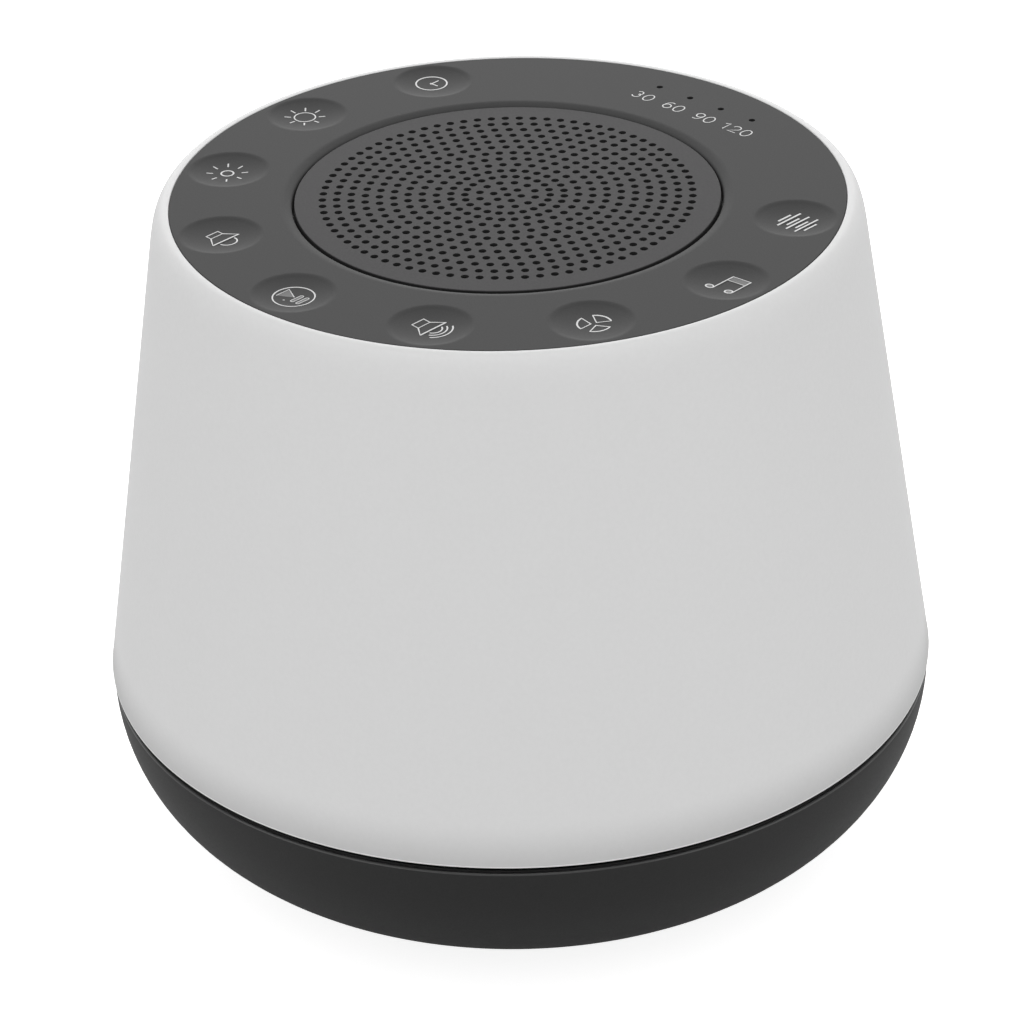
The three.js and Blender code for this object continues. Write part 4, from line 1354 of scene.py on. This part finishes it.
    def build_numerals(self) -> None:
        """Builds the minutes under the timer lights."""
        mesh = bmesh.new()
        for digit, place in self.numerals:
            strokes = []
            for stroke in DIGITS[digit]:
                route = tuple((x + place, y + self.numeral_row) for x, y in stroke.points)
                strokes.append(Stroke(route, self.numeral_line, stroke.closed))
            append_mesh(mesh, self.printed(strokes, ()))
        for vert in mesh.verts:
            vert.co.z += self.top
        self.place(to_object("timer_numerals", mesh, WHITE_INK), HOUSING, None)

    def build(self) -> None:
        """Builds the mat, its keys and its prints."""
        self.build_mat()
        for name, centre in zip(PICTOGRAMS, self.centres()):
            self.build_key(name, centre)
            self.build_sign(name, centre)
        self.build_numerals()


@dataclass
class Surround(Piece):
    """Half-roll rubber ring that joins the speaker's moving cone to its still basket.

    It is made of flat-sided sectors.
    """

    inner: float = 17.9
    outer: float = 22.1
    seat: float = 83.9
    wall: float = 0.4
    roll_middle: float = 20.0
    roll_radius: float = 1.0
    bend_share: float = 0.8
    sectors: int = 24

    def section(self) -> list[Point]:
        """Gives the ring's section.

        Returns:
            Points as radius and height.
        """
        top = self.seat + self.wall
        crest = arc(self.roll_middle, top, self.roll_radius, 0, 180, 10)
        hollow = arc(self.roll_middle, self.seat, self.roll_radius - self.wall / 2, 180, 0, 10)
        flats = ((self.outer, self.seat), (self.outer, top)), ((self.inner, top), (self.inner, self.seat))
        return [*flats[0], *crest, *flats[1], *hollow]

    def build_sector(self, index: int) -> None:
        """Builds a sector, bakes its transform and hides the CAD surround.

        Args:
            index: Its place round the ring.
        """
        half = math.pi / self.sectors
        turn = Matrix.Rotation(2 * half * index, 3, "Z")
        mesh = bmesh.new()
        ends = []
        for side in (-1, 1):
            corners = [turn @ Vector((r, side * r * math.tan(half), z)) for r, z in self.section()]
            ends.append([mesh.verts.new(corner) for corner in corners])
        for i in range(len(ends[0])):
            j = (i + 1) % len(ends[0])
            mesh.faces.new((ends[0][i], ends[0][j], ends[1][j], ends[1][i])).smooth = True
        bmesh.ops.triangulate(mesh, faces=[mesh.faces.new(end) for end in ends])
        sector = to_object(f"surround_sector_{index + 1}", mesh, INNER_FINISHES["rubber"])
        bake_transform(sector)
        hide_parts("surround")

    def build(self) -> None:
        """Builds all the sectors."""
        for index in range(self.sectors):
            self.build_sector(index)


@dataclass
class InnerParts:
    """CAD nodes that stay as they are, each in the finish of its material slot."""

    finishes: dict[str, Finish] = field(default_factory=lambda: INNER_FINISHES)

    def build(self) -> None:
        """Dresses each node that no piece replaces."""
        slots = {row["node"]: row["material_slot"] for row in frame["record"]["subparts"]}
        for name, node in frame["nodes"].items():
            finish = self.finishes.get(slots[name])
            if finish is None or node.hide_render:
                continue
            node.data.materials.clear()
            node.data.materials.append(finish.material())
            LOG.info("%s is dressed as %s", name, finish.name)


@dataclass(frozen=True)
class Lamp:
    """A soft rectangular lamp that looks at the object.

    Attributes:
        name: Its name.
        place: Where it stands, in metres, with +Y away from the camera.
        height: Its height in metres.
        size: Its width and height in metres.
        power: Its power in watts.
    """

    name: str
    place: Point
    height: float
    size: Point
    power: float


# From behind and above: it models the dishes and the soft edge round the grille.
BACK_LAMP = Lamp("back_lamp", place=(0.0, 1.35), height=0.45, size=(1.0, 0.6), power=9.0)
# Low strips in front, below the panel's face: they fill the shell and leave the dishes alone.
LEFT_STRIP = Lamp("left_strip", place=(-0.96, -0.72), height=0.045, size=(1.2, 0.07), power=2.0)
RIGHT_STRIP = replace(LEFT_STRIP, name="right_strip", place=(0.96, -0.72))
# From above and a little in front: it puts the soft highlight on the shell's shoulder.
TOP_LAMP = Lamp("top_lamp", place=(0.0, -0.3), height=1.45, size=(0.45, 0.45), power=5.6)


@dataclass
class Studio:
    """Pale floor, soft lamps and the camera at the photograph's angle.

    Attributes:
        focal_length: The camera's focal length in millimetres.
        sensor: Width of its sensor in millimetres.
        distance: From the camera to the middle of the panel, in millimetres.
        elevation: How high the camera stands above the panel, in degrees.
        azimuth: Its direction from the object, in degrees from +X.
        panel_height: Height of the panel in millimetres.
        aim_height: Height of the point that it looks at, in millimetres.
        yaw: How far it turns sideways from that point, in radians.
        roll: How far it leans, in radians.
        floor_size: Side of the floor in metres.
        room_light: Strength of the even light in the room.
        floor_glow: How bright the floor glows where the camera sees it, and where a reflection shows it.
        lamp_target: Greatest height that a lamp looks at, in metres.
        lamps: The lamps.
    """

    focal_length: float = 136.85
    sensor: float = 36.0
    distance: float = 493.3
    elevation: float = 25.34
    azimuth: float = -45.0
    panel_height: float = 90.0
    aim_height: float = 43.5
    yaw: float = -0.0012
    roll: float = -0.0289
    floor_size: float = 6.0
    room_light: float = 0.6
    floor_glow: tuple[float, float] = (0.82, 0.1)
    lamp_target: float = 0.09
    lamps: tuple[Lamp, ...] = (BACK_LAMP, LEFT_STRIP, RIGHT_STRIP, TOP_LAMP)

    def aim(self, turn: Matrix, place: Vector, target: Vector) -> Matrix:
        """Gives the matrix of a camera or lamp that looks at a target, turned about its own axes."""
        look = (target - place).to_track_quat("-Z", "Y").to_matrix().to_4x4()
        return Matrix.Translation(place) @ look @ turn

    def add_camera(self) -> None:
        """Adds the camera and makes it the scene's."""
        up, about = math.radians(self.elevation), math.radians(self.azimuth)
        level, height = self.distance * math.cos(up), self.distance * math.sin(up) + self.panel_height
        place = Vector((level * math.cos(about), level * math.sin(about), height))
        data = bpy.data.cameras.new("camera")
        data.lens = self.focal_length
        data.sensor_width = self.sensor
        data.clip_start = 0.01
        data.clip_end = 50
        camera = bpy.data.objects.new("camera", data)
        bpy.context.scene.collection.objects.link(camera)
        turn = Matrix.Rotation(-self.yaw, 4, "Y") @ Matrix.Rotation(self.roll, 4, "Z")
        camera.matrix_world = self.aim(turn, place * MM, Vector((0, 0, self.aim_height)) * MM)
        bpy.context.scene.camera = camera

    def add_lamp(self, lamp: Lamp) -> None:
        """Adds a lamp to the scene.

        Args:
            lamp: The lamp.
        """
        data = bpy.data.lights.new(lamp.name, "AREA")
        data.shape = "RECTANGLE"
        data.size, data.size_y = lamp.size
        data.energy = lamp.power
        light = bpy.data.objects.new(lamp.name, data)
        bpy.context.scene.collection.objects.link(light)
        place = Matrix.Rotation(math.radians(self.azimuth + 90), 3, "Z") @ Vector((*lamp.place, lamp.height))
        target = Vector((0, 0, min(lamp.height, self.lamp_target)))
        light.matrix_world = self.aim(Matrix.Identity(4), place, target)

    def seen(self, tree: bpy.types.NodeTree, direct: float, indirect: float) -> bpy.types.NodeSocket:
        """Adds a level for what the camera sees, which is 0 for the light that falls on the object.

        Args:
            tree: The node tree that takes the nodes.
            direct: Level where the camera sees it itself.
            indirect: Level where the camera sees it by reflection or through glass.

        Returns:
            A socket with the level.
        """
        path = add_node(tree, "ShaderNodeLightPath").outputs
        either = {"operation": "MAXIMUM"}
        glossy, through = path["Is Glossy Ray"], path["Is Transmission Ray"]
        bent = add_node(tree, "ShaderNodeMath", either, _0=glossy, _1=through)
        scaled = add_node(tree, "ShaderNodeMath", {"operation": "MULTIPLY"}, _0=bent.outputs[0], _1=indirect)
        joined = {"operation": "MULTIPLY_ADD"}
        return add_node(
            tree, "ShaderNodeMath", joined, _0=path["Is Camera Ray"], _1=direct, _2=scaled.outputs[0]
        ).outputs[0]

    def add_floor(self) -> None:
        """Adds a pale floor that looks white where it is lit and keeps the shadow."""
        mesh = bmesh.new()
        bmesh.ops.create_grid(mesh, x_segments=1, y_segments=1, size=self.floor_size / 2)
        data = bpy.data.meshes.new("floor")
        mesh.to_mesh(data)
        mesh.free()
        floor = bpy.data.objects.new("floor", data)
        bpy.context.scene.collection.objects.link(floor)
        made = bpy.data.materials.new("matt_white_floor")
        made.use_nodes = True
        tree = made.node_tree
        shader = tree.nodes["Principled BSDF"]
        shader.inputs["Base Color"].default_value = linear("#E8E8E8")
        shader.inputs["Roughness"].default_value = 0.9
        shader.inputs["Specular IOR Level"].default_value = 0.0
        shader.inputs["Emission Color"].default_value = (1, 1, 1, 1)
        tree.links.new(self.seen(tree, *self.floor_glow), shader.inputs["Emission Strength"])
        data.materials.append(made)

    def light_world(self) -> None:
        """Fills the room with even light and shows white behind the object."""
        world = bpy.data.worlds.new("room")
        bpy.context.scene.world = world
        world.use_nodes = True
        tree = world.node_tree
        background = tree.nodes["Background"]
        background.inputs["Color"].default_value = (1, 1, 1, 1)
        extra = self.seen(tree, 1 - self.room_light, 1 - self.room_light)
        level = add_node(tree, "ShaderNodeMath", {"operation": "ADD"}, _0=extra, _1=self.room_light)
        tree.links.new(level.outputs[0], background.inputs["Strength"])

    def build(self) -> None:
        """Builds the stage, the light and the camera."""
        bpy.context.scene.view_settings.view_transform = "Standard"
        self.add_camera()
        self.light_world()
        self.add_floor()
        for lamp in self.lamps:
            self.add_lamp(lamp)


def main() -> None:
    """Builds the stage and every sub-assembly, in order."""
    logging.basicConfig(level=logging.INFO, format="%(name)s: %(message)s")
    for part in (Studio(), LampShell(), Base(), Grille(), Keypad(), Surround(), InnerParts()):
        part.build()


if __name__ == "__main__":
    main()
